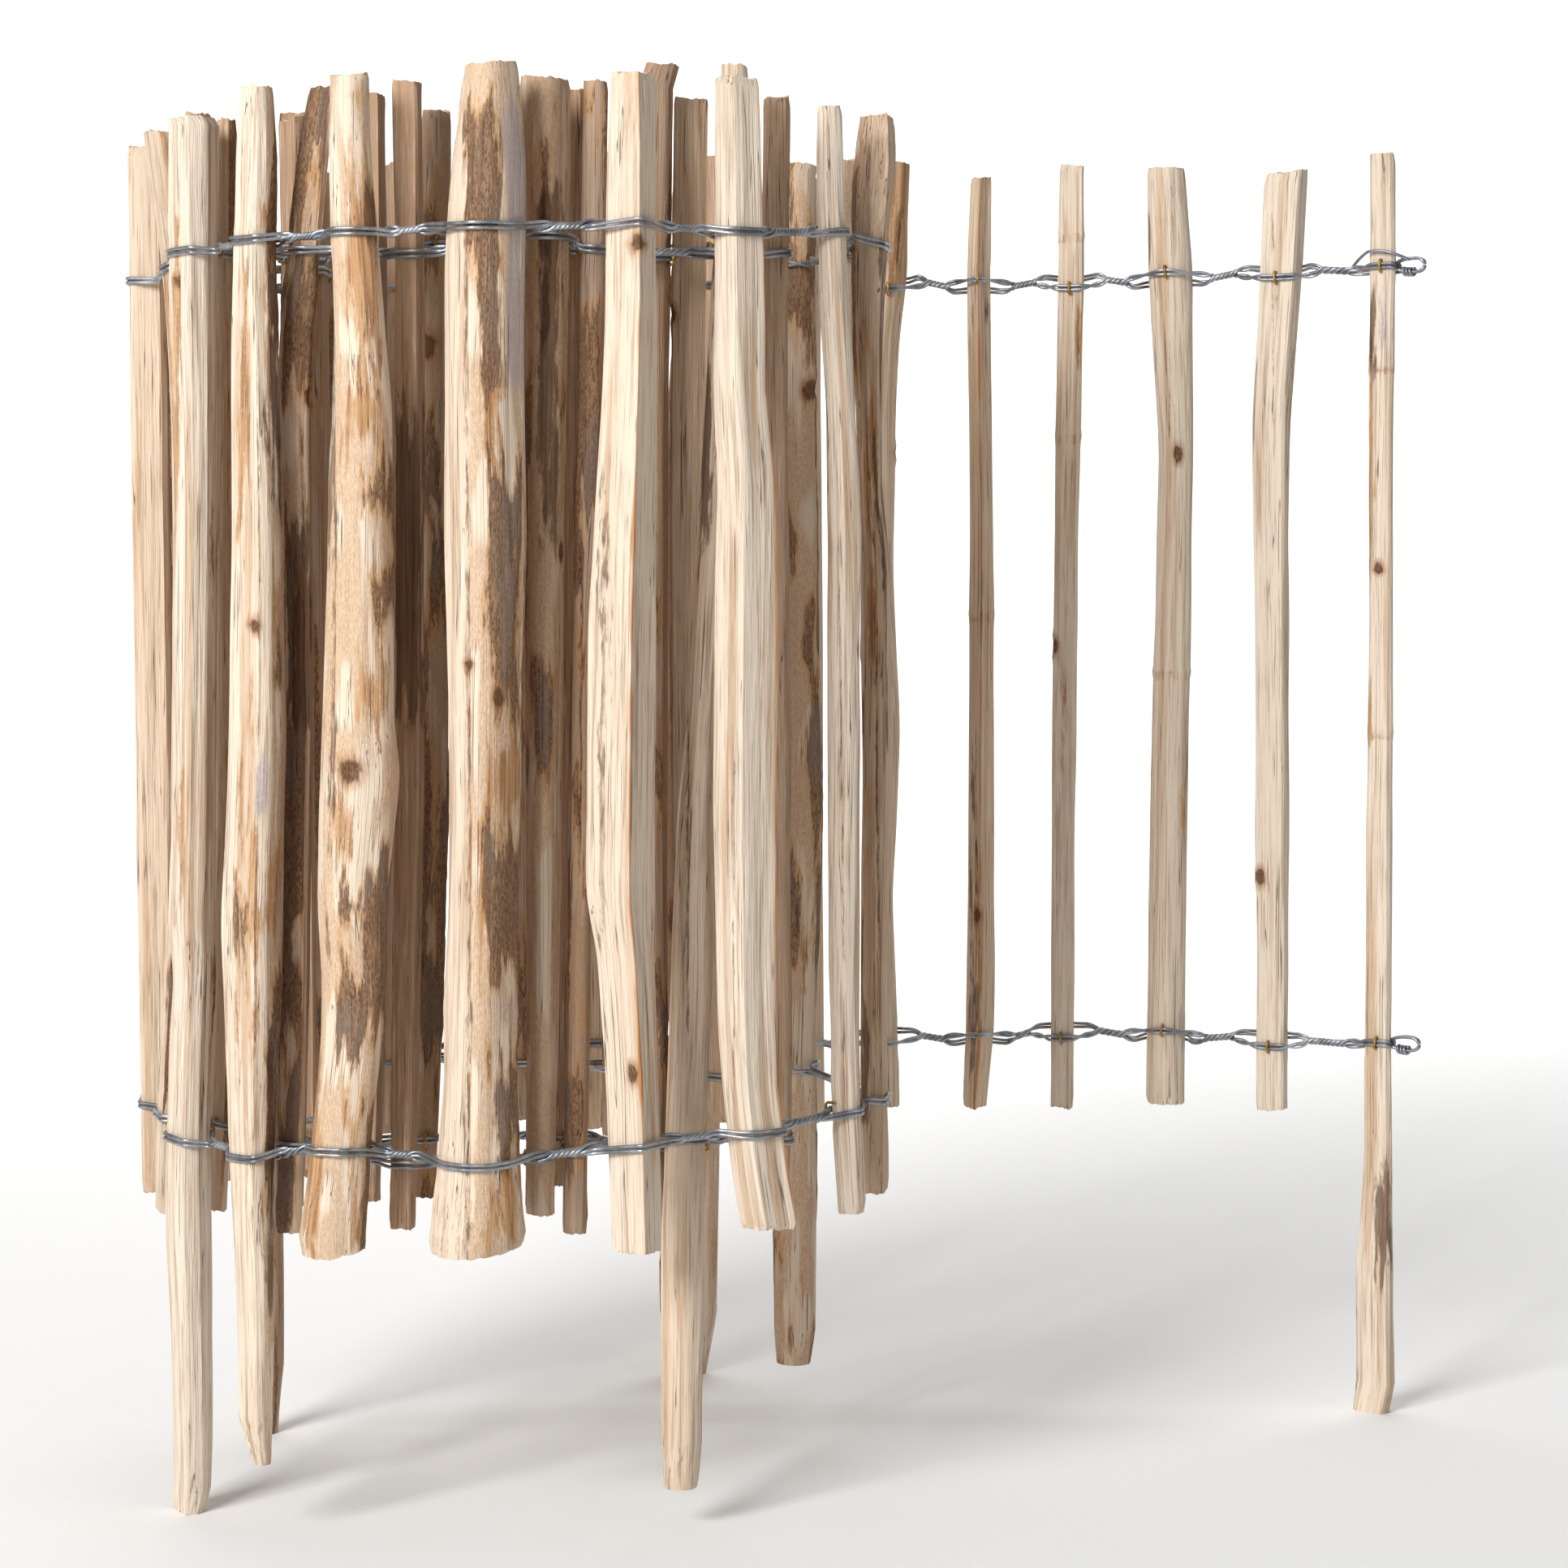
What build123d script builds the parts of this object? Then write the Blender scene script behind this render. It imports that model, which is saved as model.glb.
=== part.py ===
from build123d import *
import math
import os

# Wired split-hazel edging fence, partly unrolled, standing on the feet of its stakes.
# Millimetres, +Z up, origin under the middle of the object at ground level.

wire_d = 1.8            # galvanised wire
wire_gap = 0.4          # free space left between a wire and the wood
strand_pitch = 2.4      # centre to centre of two wires lying side by side
gap_lead = 7.0          # where the pairs part, this far from the edge of a pale
loop_reach = 13.0       # how far the wire ends reach past the two end pickets
staple_d = 1.6          # staple wire
staple_leg = 3.6        # height of each leg above or below the middle of the wires
staple_depth = 9.0      # how deep the legs go into the wood
staple_fit = 0.05       # free space round a leg in its hole

# each picket: name, outline, direction its outer face looks (degrees), height of the two wires,
# slope of the sawn top, and levels from the top down: z, centre x, centre y, width, thickness
PICKETS = [
    ("end_stake", "Q", -124.1, (712.4, 233.3), (-0.01, 0.01), [
        (780.4, 357.3, 121.0, 15.2, 10.2), (775.5, 357.7, 121.0, 16.0, 10.7), (711.4, 359.0, 121.0, 17.0, 11.3),
        (607.3, 359.2, 121.0, 15.1, 10.1), (427.3, 360.4, 121.0, 15.2, 10.1), (229.7, 361.8, 121.0, 16.3, 10.9),
        (154.6, 363.1, 121.0, 17.8, 11.9), (81.2, 361.6, 121.0, 23.8, 15.9), (18.8, 362.9, 121.0, 23.9, 15.9),
        (0.0, 360.2, 121.0, 22.5, 14.9),]),
    ("pale_01", "S", -118.7, (707.4, 224.9), (0.08, -0.01), [
        (772.6, 304.1, 161.0, 23.8, 14.2), (766.6, 303.2, 161.0, 25.0, 15.0), (707.4, 300.5, 161.0, 24.6, 14.8),
        (619.7, 295.5, 161.0, 21.5, 12.9), (424.8, 298.0, 161.0, 19.8, 11.9), (270.5, 299.5, 161.0, 19.0, 11.4),
        (190.1, 300.3, 161.0, 19.0, 11.4), (184.4, 300.6, 161.0, 18.1, 10.8),]),
    ("pale_02", "B", -110.1, (712.8, 231.5), (0.0, 0.02), [
        (778.3, 230.9, 191.0, 21.9, 14.6), (773.7, 230.9, 191.0, 23.1, 15.4), (712.8, 233.7, 191.0, 28.1, 18.8),
        (664.8, 235.8, 191.0, 24.2, 16.1), (598.3, 238.6, 191.0, 21.2, 14.1), (423.0, 236.5, 191.0, 22.8, 15.2),
        (266.6, 235.1, 191.0, 24.0, 16.0), (187.9, 234.9, 191.0, 24.5, 16.4), (183.1, 235.3, 191.0, 23.3, 15.6),]),
    ("pale_03", "H", -101.3, (703.6, 223.7), (-0.06, 0.0), [
        (780.4, 175.0, 209.0, 14.0, 16.6), (776.3, 174.7, 209.0, 14.7, 17.5), (703.6, 174.4, 209.0, 16.3, 18.0),
        (557.2, 172.1, 209.0, 14.3, 18.0), (369.5, 171.6, 209.0, 14.4, 18.0), (185.0, 171.6, 209.0, 14.5, 17.3),
        (178.1, 171.3, 209.0, 13.8, 16.4),]),
    ("pale_04", "W", -95.1, (710.1, 225.4), (0.03, 0.06), [
        (774.3, 116.8, 215.0, 12.3, 13.3), (769.7, 116.3, 215.0, 12.9, 14.0), (709.6, 115.0, 215.0, 15.1, 18.0),
        (557.1, 118.2, 215.0, 15.1, 18.0), (369.0, 118.2, 215.0, 16.8, 18.0), (226.5, 118.0, 215.0, 18.4, 18.0),
        (181.4, 115.0, 215.0, 15.3, 16.5), (177.1, 115.0, 215.0, 14.5, 15.7),]),
    ("pale_05", "B", -93.5, (703.7, 218.5), (-0.08, -0.04), [
        (783.9, 62.0, 219.0, 18.1, 20.9), (753.6, 60.5, 219.0, 19.0, 22.0), (712.4, 57.7, 219.0, 23.9, 22.0),
        (671.2, 54.7, 219.0, 19.5, 22.0), (629.8, 53.4, 219.0, 18.3, 22.0), (557.1, 52.0, 219.0, 18.3, 22.0),
        (525.9, 51.9, 219.0, 17.5, 22.0), (421.3, 54.7, 219.0, 21.8, 22.0), (368.7, 53.8, 219.0, 19.1, 22.0),
        (316.0, 53.1, 219.0, 16.0, 22.0), (220.6, 55.6, 219.0, 17.9, 22.0), (177.0, 57.0, 219.0, 17.4, 21.7),]),
    ("pale_06", "H", 89.1, (701.9, 217.3), (-0.08, 0.06), [
        (775.1, -0.5, 222.0, 28.1, 18.7), (767.1, -0.6, 222.0, 29.6, 19.7), (619.2, 0.1, 222.0, 28.7, 19.1),
        (471.2, 0.8, 222.0, 30.0, 20.0), (323.3, 1.6, 222.0, 28.6, 19.1), (175.3, 2.4, 222.0, 29.8, 19.9),
        (167.3, 2.4, 222.0, 28.3, 18.9),]),
    ("stake_01", "R", 92.2, (701.1, 217.2), (0.04, -0.09), [
        (770.0, -60.7, 221.1, 31.3, 25.5), (762.0, -60.7, 221.1, 33.0, 26.8), (680.0, -61.7, 221.1, 31.6, 25.6),
        (636.3, -62.3, 221.1, 35.7, 25.0), (510.7, -64.0, 221.0, 36.7, 25.3), (385.0, -65.7, 221.0, 38.2, 26.3),
        (259.3, -67.6, 220.9, 36.1, 27.2), (240.0, -67.9, 220.9, 33.2, 27.0), (133.7, -69.4, 220.9, 32.2, 26.2),
        (42.0, -70.7, 220.9, 31.7, 25.7), (0.0, -71.3, 220.9, 19.8, 16.1),]),
    ("pale_07", "S", 93.1, (702.2, 219.9), (0.1, 0.09), [
        (789.5, -132.8, 217.1, 31.1, 18.2), (781.5, -131.9, 217.1, 32.7, 19.2), (629.4, -129.9, 217.1, 33.3, 19.6),
        (477.3, -128.7, 217.0, 35.1, 20.6), (325.1, -127.8, 217.0, 32.9, 19.4), (173.0, -126.8, 216.9, 34.3, 20.2),
        (165.0, -126.8, 216.9, 32.6, 19.2),]),
    ("pale_08", "B", 100.2, (702.4, 218.1), (0.03, 0.02), [
        (782.1, -195.5, 214.5, 29.5, 20.3), (774.1, -194.5, 214.6, 31.1, 21.4), (625.6, -194.0, 214.5, 32.6, 22.4),
        (477.1, -194.3, 214.2, 31.8, 21.8), (328.7, -195.1, 213.8, 31.4, 21.6), (180.2, -195.7, 213.4, 32.3, 22.2),
        (172.2, -195.8, 213.4, 30.7, 21.1),]),
    ("pale_09", "Q", 116.6, (701.0, 219.3), (-0.07, -0.1), [
        (778.0, -259.7, 193.5, 28.7, 19.1), (770.0, -259.1, 193.7, 30.2, 20.1), (622.1, -257.7, 194.1, 30.1, 20.1),
        (474.3, -256.8, 194.2, 31.1, 20.8), (326.4, -256.1, 194.1, 30.7, 20.5), (178.6, -255.4, 194.2, 29.4, 19.6),
        (170.6, -255.4, 194.1, 27.9, 18.6),]),
    ("pale_10", "W", 133.7, (698.0, 218.7), (0.01, -0.09), [
        (789.6, -308.4, 155.9, 26.6, 20.9), (781.6, -307.8, 156.4, 28.0, 22.0), (629.8, -307.9, 157.1, 26.7, 21.0),
        (478.1, -308.5, 157.3, 28.5, 22.4), (326.3, -309.4, 157.3, 28.7, 22.6), (174.6, -310.2, 157.3, 28.2, 22.2),
        (166.6, -310.2, 157.3, 26.8, 21.1),]),
    ("pale_11", "B", 150.8, (700.7, 219.1), (-0.06, -0.05), [
        (787.3, -350.0, 105.5, 28.4, 18.9), (779.3, -350.1, 105.3, 29.9, 19.9), (629.2, -349.6, 105.5, 31.0, 20.7),
        (479.1, -349.2, 105.8, 31.3, 20.9), (329.0, -348.6, 106.2, 29.9, 19.9), (178.9, -348.1, 106.6, 30.5, 20.3),
        (170.9, -348.1, 106.6, 29.0, 19.3),]),
    ("pale_12", "H", 167.0, (699.4, 217.9), (-0.09, -0.01), [
        (769.3, -371.3, 43.1, 29.7, 18.6), (761.3, -371.5, 42.5, 31.3, 19.6), (617.9, -371.4, 43.6, 31.6, 19.8),
        (474.4, -371.2, 45.2, 32.5, 20.3), (330.9, -370.8, 47.3, 30.5, 19.0), (187.4, -370.5, 49.2, 31.9, 19.9),
        (179.4, -370.5, 49.3, 30.3, 18.9),]),
    ("pale_13", "S", -174.6, (696.4, 219.0), (-0.01, 0.07), [
        (771.7, -376.4, -12.6, 27.7, 18.5), (763.7, -376.5, -11.8, 29.2, 19.5), (616.4, -376.3, -10.7, 29.7, 19.8),
        (469.1, -376.1, -10.4, 31.1, 20.7), (321.9, -375.8, -10.6, 28.7, 19.2), (174.6, -375.6, -10.6, 29.8, 19.9),
        (166.6, -375.5, -10.6, 28.3, 18.9),]),
    ("pale_14", "H", -159.2, (697.0, 217.8), (0.0, 0.03), [
        (774.6, -357.7, -71.0, 22.9, 16.7), (769.2, -356.6, -71.0, 24.1, 17.6), (730.9, -352.1, -71.0, 23.0, 16.8),
        (708.3, -350.1, -71.0, 21.1, 15.5), (667.6, -347.1, -71.0, 19.7, 14.5), (613.1, -346.2, -71.0, 17.1, 12.5),
        (485.0, -347.0, -71.0, 18.7, 13.7), (355.7, -350.4, -71.0, 18.0, 13.2), (309.3, -352.6, -71.0, 20.5, 15.1),
        (253.3, -356.1, -71.0, 20.6, 15.1), (220.6, -358.3, -71.0, 20.6, 15.1), (187.8, -360.2, -71.0, 19.5, 14.3),
        (164.3, -361.0, -71.0, 18.5, 13.6),]),
    ("stake_02", "H", -145.1, (707.0, 214.3), (-0.0, 0.03), [
        (778.2, -332.6, -111.0, 27.0, 21.6), (773.8, -330.9, -111.0, 28.4, 22.7),
        (732.2, -331.4, -111.0, 28.6, 22.9), (665.7, -331.6, -111.0, 28.0, 22.4),
        (630.0, -331.6, -111.0, 27.1, 21.7), (603.2, -331.7, -111.0, 26.2, 20.9),
        (576.4, -331.7, -111.0, 25.1, 20.1), (486.6, -333.5, -111.0, 25.5, 20.4),
        (396.1, -335.4, -111.0, 25.6, 20.5), (332.5, -337.6, -111.0, 27.2, 21.7),
        (305.1, -336.9, -111.0, 23.4, 18.7), (268.5, -338.9, -111.0, 25.0, 20.0),
        (213.4, -341.0, -111.0, 25.2, 20.2), (167.4, -341.3, -111.0, 26.8, 21.4),
        (102.6, -340.6, -111.0, 24.5, 19.6), (56.2, -340.7, -111.0, 24.5, 19.6), (14.8, -341.4, -111.0, 22.7, 18.2),
        (0.0, -343.2, -111.0, 20.0, 16.0),]),
    ("stake_03", "Q", -131.1, (706.2, 211.0), (-0.01, -0.04), [
        (788.7, -289.9, -167.0, 17.7, 14.2), (785.3, -289.8, -167.0, 18.6, 14.9),
        (757.8, -289.9, -167.0, 22.2, 17.7), (706.2, -291.5, -167.0, 24.4, 19.5),
        (663.0, -291.8, -167.0, 26.5, 21.2), (619.6, -291.7, -167.0, 27.6, 22.1),
        (532.5, -291.4, -167.0, 29.9, 24.0), (444.8, -292.1, -167.0, 32.3, 25.8),
        (400.8, -293.9, -167.0, 32.4, 25.9), (338.8, -296.3, -167.0, 34.9, 27.9),
        (312.2, -296.3, -167.0, 33.8, 27.1), (267.7, -297.1, -167.0, 30.7, 24.5),
        (223.0, -297.8, -167.0, 27.4, 21.9), (178.2, -298.3, -167.0, 23.5, 18.8),
        (115.3, -297.5, -167.0, 21.3, 17.1), (67.9, -297.8, -167.0, 20.0, 16.0), (41.6, -295.5, -167.0, 10.5, 8.4),]),
    ("pale_15", "R", -110.3, (711.2, 224.1), (0.1, 0.1), [
        (791.9, -238.0, -199.0, 21.1, 19.7), (788.6, -237.6, -199.0, 22.2, 20.7),
        (754.8, -237.9, -199.0, 24.0, 22.4), (725.2, -236.5, -199.0, 25.6, 23.9),
        (704.0, -235.4, -199.0, 27.1, 25.3), (678.5, -234.3, -199.0, 28.3, 26.4),
        (644.4, -233.6, -199.0, 31.0, 28.9), (618.8, -232.6, -199.0, 34.4, 32.1),
        (576.0, -233.7, -199.0, 35.8, 33.4), (533.1, -234.5, -199.0, 36.7, 34.3),
        (490.0, -235.1, -199.0, 38.1, 35.5), (446.8, -236.1, -199.0, 40.3, 37.6),
        (427.3, -234.6, -199.0, 45.3, 42.3), (403.4, -236.6, -199.0, 43.6, 40.7),
        (351.2, -240.1, -199.0, 38.9, 36.4), (316.3, -239.2, -199.0, 36.7, 34.3),
        (281.3, -240.6, -199.0, 34.6, 32.3), (237.3, -245.7, -199.0, 33.7, 31.5),
        (206.5, -248.8, -199.0, 34.2, 31.9), (175.6, -252.2, -199.0, 37.7, 35.1),
        (166.8, -251.6, -199.0, 35.8, 33.3),]),
    ("pale_16", "B", -91.6, (709.7, 215.4), (0.07, 0.04), [
        (796.1, -162.8, -214.0, 26.6, 21.6), (791.9, -162.3, -214.0, 28.0, 22.7),
        (770.1, -162.9, -214.0, 33.3, 30.0), (745.0, -164.3, -214.0, 38.5, 30.0),
        (702.9, -166.3, -214.0, 42.0, 30.0), (626.9, -167.8, -214.0, 41.7, 30.0),
        (550.4, -166.8, -214.0, 43.1, 30.0), (490.6, -167.8, -214.0, 40.2, 30.0),
        (404.7, -168.7, -214.0, 36.9, 30.0), (335.5, -170.6, -214.0, 36.7, 30.0),
        (296.5, -170.8, -214.0, 39.9, 30.0), (257.3, -172.0, -214.0, 38.4, 30.0),
        (204.9, -172.8, -214.0, 45.5, 30.0), (175.1, -174.2, -214.0, 51.3, 41.6),
        (169.0, -174.1, -214.0, 48.7, 39.5),]),
    ("pale_17", "W", -72.9, (716.4, 227.0), (-0.04, -0.05), [
        (792.3, -87.4, -203.0, 23.3, 17.8), (789.0, -87.4, -203.0, 24.5, 18.7), (746.0, -88.2, -203.0, 26.7, 28.0),
        (707.9, -88.4, -203.0, 27.0, 28.0), (661.3, -88.5, -203.0, 27.6, 28.0), (601.6, -90.5, -203.0, 31.1, 28.0),
        (550.3, -92.2, -203.0, 34.1, 28.0), (507.4, -93.4, -203.0, 37.3, 28.0), (421.1, -94.4, -203.0, 36.8, 28.0),
        (360.3, -95.4, -203.0, 37.9, 28.0), (325.5, -92.3, -203.0, 31.1, 28.0), (255.6, -89.0, -203.0, 29.5, 28.0),
        (194.0, -87.5, -203.0, 27.7, 28.0), (166.7, -86.8, -203.0, 26.3, 26.6),]),
    ("pale_18", "Q", -52.7, (710.1, 225.4), (-0.04, -0.09), [
        (792.3, -34.4, -173.0, 19.3, 15.4), (788.1, -34.2, -173.0, 20.3, 16.2), (748.7, -33.5, -173.0, 21.4, 17.1),
        (628.1, -32.1, -173.0, 24.1, 19.3), (576.1, -29.0, -173.0, 26.6, 21.2), (489.0, -29.4, -173.0, 29.0, 23.2),
        (445.2, -29.7, -173.0, 28.9, 23.1), (401.3, -30.0, -173.0, 28.9, 23.1), (321.8, -29.6, -173.0, 27.1, 21.7),
        (295.2, -29.1, -173.0, 27.0, 21.6), (250.8, -27.2, -173.0, 25.1, 20.1), (206.2, -22.3, -173.0, 26.0, 20.8),
        (177.2, -17.5, -173.0, 26.0, 20.8), (173.6, -17.5, -173.0, 24.7, 19.8),]),
    ("pale_19", "B", -37.4, (717.4, 231.0), (0.05, -0.02), [
        (783.8, 16.9, -120.0, 12.9, 8.6), (779.9, 17.3, -120.0, 13.6, 9.1), (753.5, 17.6, -120.0, 15.5, 10.4),
        (665.2, 21.1, -120.0, 18.5, 12.3), (620.9, 23.9, -120.0, 17.1, 11.4), (594.2, 24.8, -120.0, 18.4, 12.3),
        (549.6, 26.4, -120.0, 20.5, 13.7), (486.9, 26.5, -120.0, 19.8, 13.2), (442.0, 26.4, -120.0, 19.7, 13.1),
        (315.3, 26.0, -120.0, 18.8, 12.5), (242.4, 27.0, -120.0, 17.2, 11.5), (178.3, 30.7, -120.0, 16.4, 10.9),
        (171.9, 30.3, -120.0, 15.6, 10.4),]),
    ("pale_20", "H", -7.6, (709.0, 227.3), (0.07, -0.02), [
        (782.3, 41.9, -75.0, 23.6, 17.3), (777.8, 42.0, -75.0, 24.8, 18.2), (757.6, 41.2, -75.0, 30.2, 22.1),
        (712.6, 38.1, -75.0, 26.8, 19.7), (667.4, 37.4, -75.0, 21.7, 15.9), (576.6, 38.8, -75.0, 17.0, 12.5),
        (530.9, 42.1, -75.0, 21.5, 15.8), (393.1, 42.8, -75.0, 21.6, 15.8), (300.5, 41.4, -75.0, 18.7, 13.7),
        (181.5, 42.1, -75.0, 20.0, 14.7), (175.4, 42.2, -75.0, 19.0, 14.0),]),
    ("pale_21", "S", 15.0, (708.9, 227.2), (0.09, 0.07), [
        (764.7, 27.0, -7.0, 15.7, 9.4), (670.7, 25.7, -7.0, 16.5, 9.9), (243.8, 27.6, -7.0, 15.6, 9.3),
        (176.2, 29.2, -7.0, 14.8, 8.8),]),
    ("stake_04", "R", 30.0, (710.2, 224.6), (-0.1, -0.06), [
        (769.5, 2.0, 71.0, 20.3, 17.7), (763.7, 0.5, 71.0, 21.4, 18.6), (625.9, -0.2, 71.0, 22.1, 19.1),
        (479.4, 2.1, 71.0, 24.9, 21.6), (381.0, 3.3, 71.0, 25.5, 22.1), (291.9, 1.4, 71.0, 23.4, 20.3),
        (232.1, -0.1, 71.0, 24.6, 21.3), (132.0, -2.6, 71.0, 31.2, 27.0), (64.6, -2.5, 71.0, 29.1, 25.2),
        (42.4, -3.2, 71.0, 23.9, 20.7),]),
    ("pale_22", "B", 52.2, (701.0, 211.1), (0.08, -0.01), [
        (780.1, -43.6, 124.4, 28.2, 18.8), (772.1, -43.1, 124.0, 29.7, 19.8), (626.9, -41.9, 123.3, 29.6, 19.7),
        (481.8, -40.9, 122.9, 31.2, 20.8), (336.6, -40.2, 122.6, 31.4, 20.9), (191.4, -39.4, 122.3, 29.0, 19.3),
        (183.4, -39.4, 122.3, 27.5, 18.3),]),
    ("pale_23", "Q", 74.4, (707.4, 210.6), (0.1, -0.02), [
        (771.9, -106.4, 158.0, 27.8, 18.5), (763.9, -106.7, 158.0, 29.3, 19.5), (617.2, -107.9, 158.1, 28.5, 19.0),
        (470.5, -109.0, 158.0, 29.8, 19.8), (323.8, -110.0, 158.0, 29.6, 19.7), (177.1, -111.0, 158.0, 30.2, 20.1),
        (169.1, -111.0, 158.0, 28.7, 19.1),]),
    ("pale_24", "W", 94.7, (704.8, 215.1), (-0.09, 0.03), [
        (789.0, -177.2, 160.9, 25.5, 19.9), (781.0, -177.5, 160.9, 26.8, 21.0), (632.5, -177.6, 160.9, 29.1, 22.9),
        (484.1, -177.3, 161.0, 28.8, 22.6), (335.6, -176.8, 161.0, 29.0, 22.8), (187.2, -176.4, 161.1, 28.8, 22.7),
        (179.2, -176.4, 161.1, 27.4, 21.6),]),
    ("pale_25", "S", 114.6, (700.0, 218.0), (0.06, -0.05), [
        (776.6, -239.3, 146.7, 30.9, 16.3), (768.6, -238.5, 147.1, 32.5, 17.2), (621.7, -239.9, 147.4, 33.0, 17.5),
        (474.7, -242.0, 147.3, 32.9, 17.4), (327.7, -244.6, 147.0, 33.5, 17.7), (180.8, -247.1, 146.8, 32.5, 17.2),
        (172.8, -247.3, 146.8, 30.9, 16.3),]),
    ("pale_26", "H", 134.3, (705.7, 215.1), (-0.08, -0.03), [
        (768.0, -292.2, 107.6, 27.5, 19.7), (760.0, -291.5, 108.3, 29.0, 20.7), (613.8, -292.5, 108.3, 28.3, 20.2),
        (467.7, -294.2, 107.6, 27.0, 19.3), (321.5, -296.3, 106.6, 27.3, 19.5), (175.3, -298.3, 105.7, 27.6, 19.7),
        (167.3, -298.5, 105.5, 26.2, 18.7),]),
    ("stake_05", "W", 153.4, (706.8, 210.6), (0.09, 0.05), [
        (772.0, -324.4, 69.0, 23.9, 19.9), (764.0, -324.7, 68.4, 25.2, 21.0), (638.0, -325.1, 67.3, 23.9, 19.9),
        (512.0, -325.3, 66.5, 24.0, 20.0), (386.0, -325.4, 66.0, 23.0, 19.2), (260.0, -325.4, 65.8, 23.0, 19.2),
        (134.0, -325.3, 65.5, 23.6, 19.7), (42.0, -325.3, 65.3, 23.4, 19.5), (0.0, -325.4, 65.1, 14.9, 12.4),]),
    ("pale_27", "B", 170.7, (700.4, 211.1), (-0.08, -0.05), [
        (786.2, -342.2, 8.2, 25.6, 18.3), (778.2, -342.2, 8.2, 27.0, 19.3), (627.6, -342.6, 9.4, 28.1, 20.1),
        (476.9, -342.9, 10.7, 26.7, 19.1), (326.2, -343.3, 12.0, 28.1, 20.1), (175.6, -343.6, 13.4, 29.3, 21.0),
        (167.6, -343.7, 13.4, 27.8, 19.9),]),
    ("pale_28", "H", -165.1, (703.5, 215.9), (-0.08, -0.09), [
        (787.0, -342.6, -36.2, 25.4, 15.6), (779.0, -342.8, -35.5, 26.7, 16.4), (631.1, -342.6, -35.6, 26.1, 16.1),
        (483.2, -342.2, -36.3, 26.7, 16.4), (335.2, -341.7, -37.5, 25.6, 15.7), (187.3, -341.3, -38.5, 25.3, 15.6),
        (179.3, -341.2, -38.6, 24.0, 14.8),]),
    ("pale_29", "Q", -145.5, (707.9, 217.9), (0.06, -0.06), [
        (779.7, -321.3, -79.0, 19.0, 10.2), (775.2, -321.9, -79.0, 20.0, 10.7), (622.0, -322.8, -79.0, 17.6, 9.4),
        (393.5, -325.4, -79.0, 17.8, 9.5), (207.9, -330.3, -79.0, 17.9, 9.5), (165.8, -332.2, -79.0, 17.0, 9.0),]),
    ("pale_30", "B", -129.8, (702.0, 214.2), (0.01, -0.01), [
        (790.7, -259.3, -149.0, 14.2, 7.6), (786.4, -260.0, -149.0, 15.0, 8.0), (750.9, -265.1, -149.0, 19.1, 10.2),
        (707.4, -270.0, -149.0, 20.1, 10.7), (663.8, -274.8, -149.0, 20.2, 10.8),
        (628.9, -277.2, -149.0, 20.7, 11.0), (532.2, -276.4, -149.0, 18.2, 9.7), (443.7, -275.7, -149.0, 15.3, 8.1),
        (265.0, -280.2, -149.0, 16.4, 8.7), (170.2, -283.4, -149.0, 16.5, 8.8), (166.6, -283.2, -149.0, 15.7, 8.4),]),
    ("pale_31", "S", -103.0, (701.4, 210.2), (-0.06, 0.05), [
        (791.5, -210.1, -169.0, 13.7, 12.2), (787.7, -210.1, -169.0, 14.4, 12.8),
        (619.6, -209.4, -169.0, 12.8, 14.0), (400.9, -211.9, -169.0, 12.9, 14.0),
        (178.6, -217.0, -169.0, 12.4, 11.0), (173.3, -217.2, -169.0, 11.8, 10.4),]),
    ("pale_32", "B", -86.4, (707.7, 211.8), (-0.07, 0.03), [
        (792.7, -136.2, -177.0, 25.1, 23.2), (788.5, -136.0, -177.0, 26.4, 24.4),
        (705.5, -136.1, -177.0, 24.9, 20.0), (619.4, -136.7, -177.0, 22.5, 20.0),
        (576.1, -137.2, -177.0, 21.6, 20.0), (401.6, -138.6, -177.0, 19.3, 20.0),
        (269.2, -139.9, -177.0, 16.3, 20.0), (186.9, -141.6, -177.0, 16.4, 15.1),
        (182.4, -141.4, -177.0, 15.6, 14.3),]),
    ("pale_33", "R", -72.5, (704.2, 216.6), (-0.08, -0.02), [
        (792.2, -110.1, -163.0, 12.6, 15.4), (787.5, -110.0, -163.0, 13.3, 16.2),
        (619.7, -113.2, -163.0, 13.4, 16.0), (444.6, -118.3, -163.0, 12.6, 16.0),
        (267.1, -121.7, -163.0, 12.7, 16.0), (175.2, -124.1, -163.0, 13.2, 16.0),
        (169.4, -124.1, -163.0, 12.5, 15.2),]),
    ("stake_06", "B", -59.3, (700.1, 217.6), (-0.06, -0.05), [
        (802.4, -34.2, -149.0, 13.8, 9.2), (798.5, -34.0, -149.0, 14.5, 9.7), (707.4, -37.2, -149.0, 15.9, 10.6),
        (576.2, -45.3, -149.0, 16.0, 10.6), (443.7, -52.7, -149.0, 16.5, 11.0), (399.3, -55.3, -149.0, 20.5, 13.7),
        (309.9, -57.4, -149.0, 23.3, 15.5), (201.9, -61.7, -149.0, 22.5, 15.0), (174.8, -62.6, -149.0, 23.4, 15.6),
        (48.7, -63.8, -149.0, 22.6, 15.1), (23.1, -64.6, -149.0, 18.5, 12.4),]),
    ("pale_34", "Q", 3.4, (706.3, 213.3), (0.09, 0.06), [
        (790.1, -13.4, -103.0, 26.1, 13.9), (786.1, -13.4, -103.0, 27.5, 14.6), (621.3, -14.3, -103.0, 27.6, 14.7),
        (395.5, -12.8, -103.0, 27.0, 14.4), (212.1, -12.1, -103.0, 26.3, 14.1), (175.1, -13.7, -103.0, 25.0, 13.4),]),
    ("pale_35", "B", 112.1, (706.4, 210.0), (-0.04, 0.08), [
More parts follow.
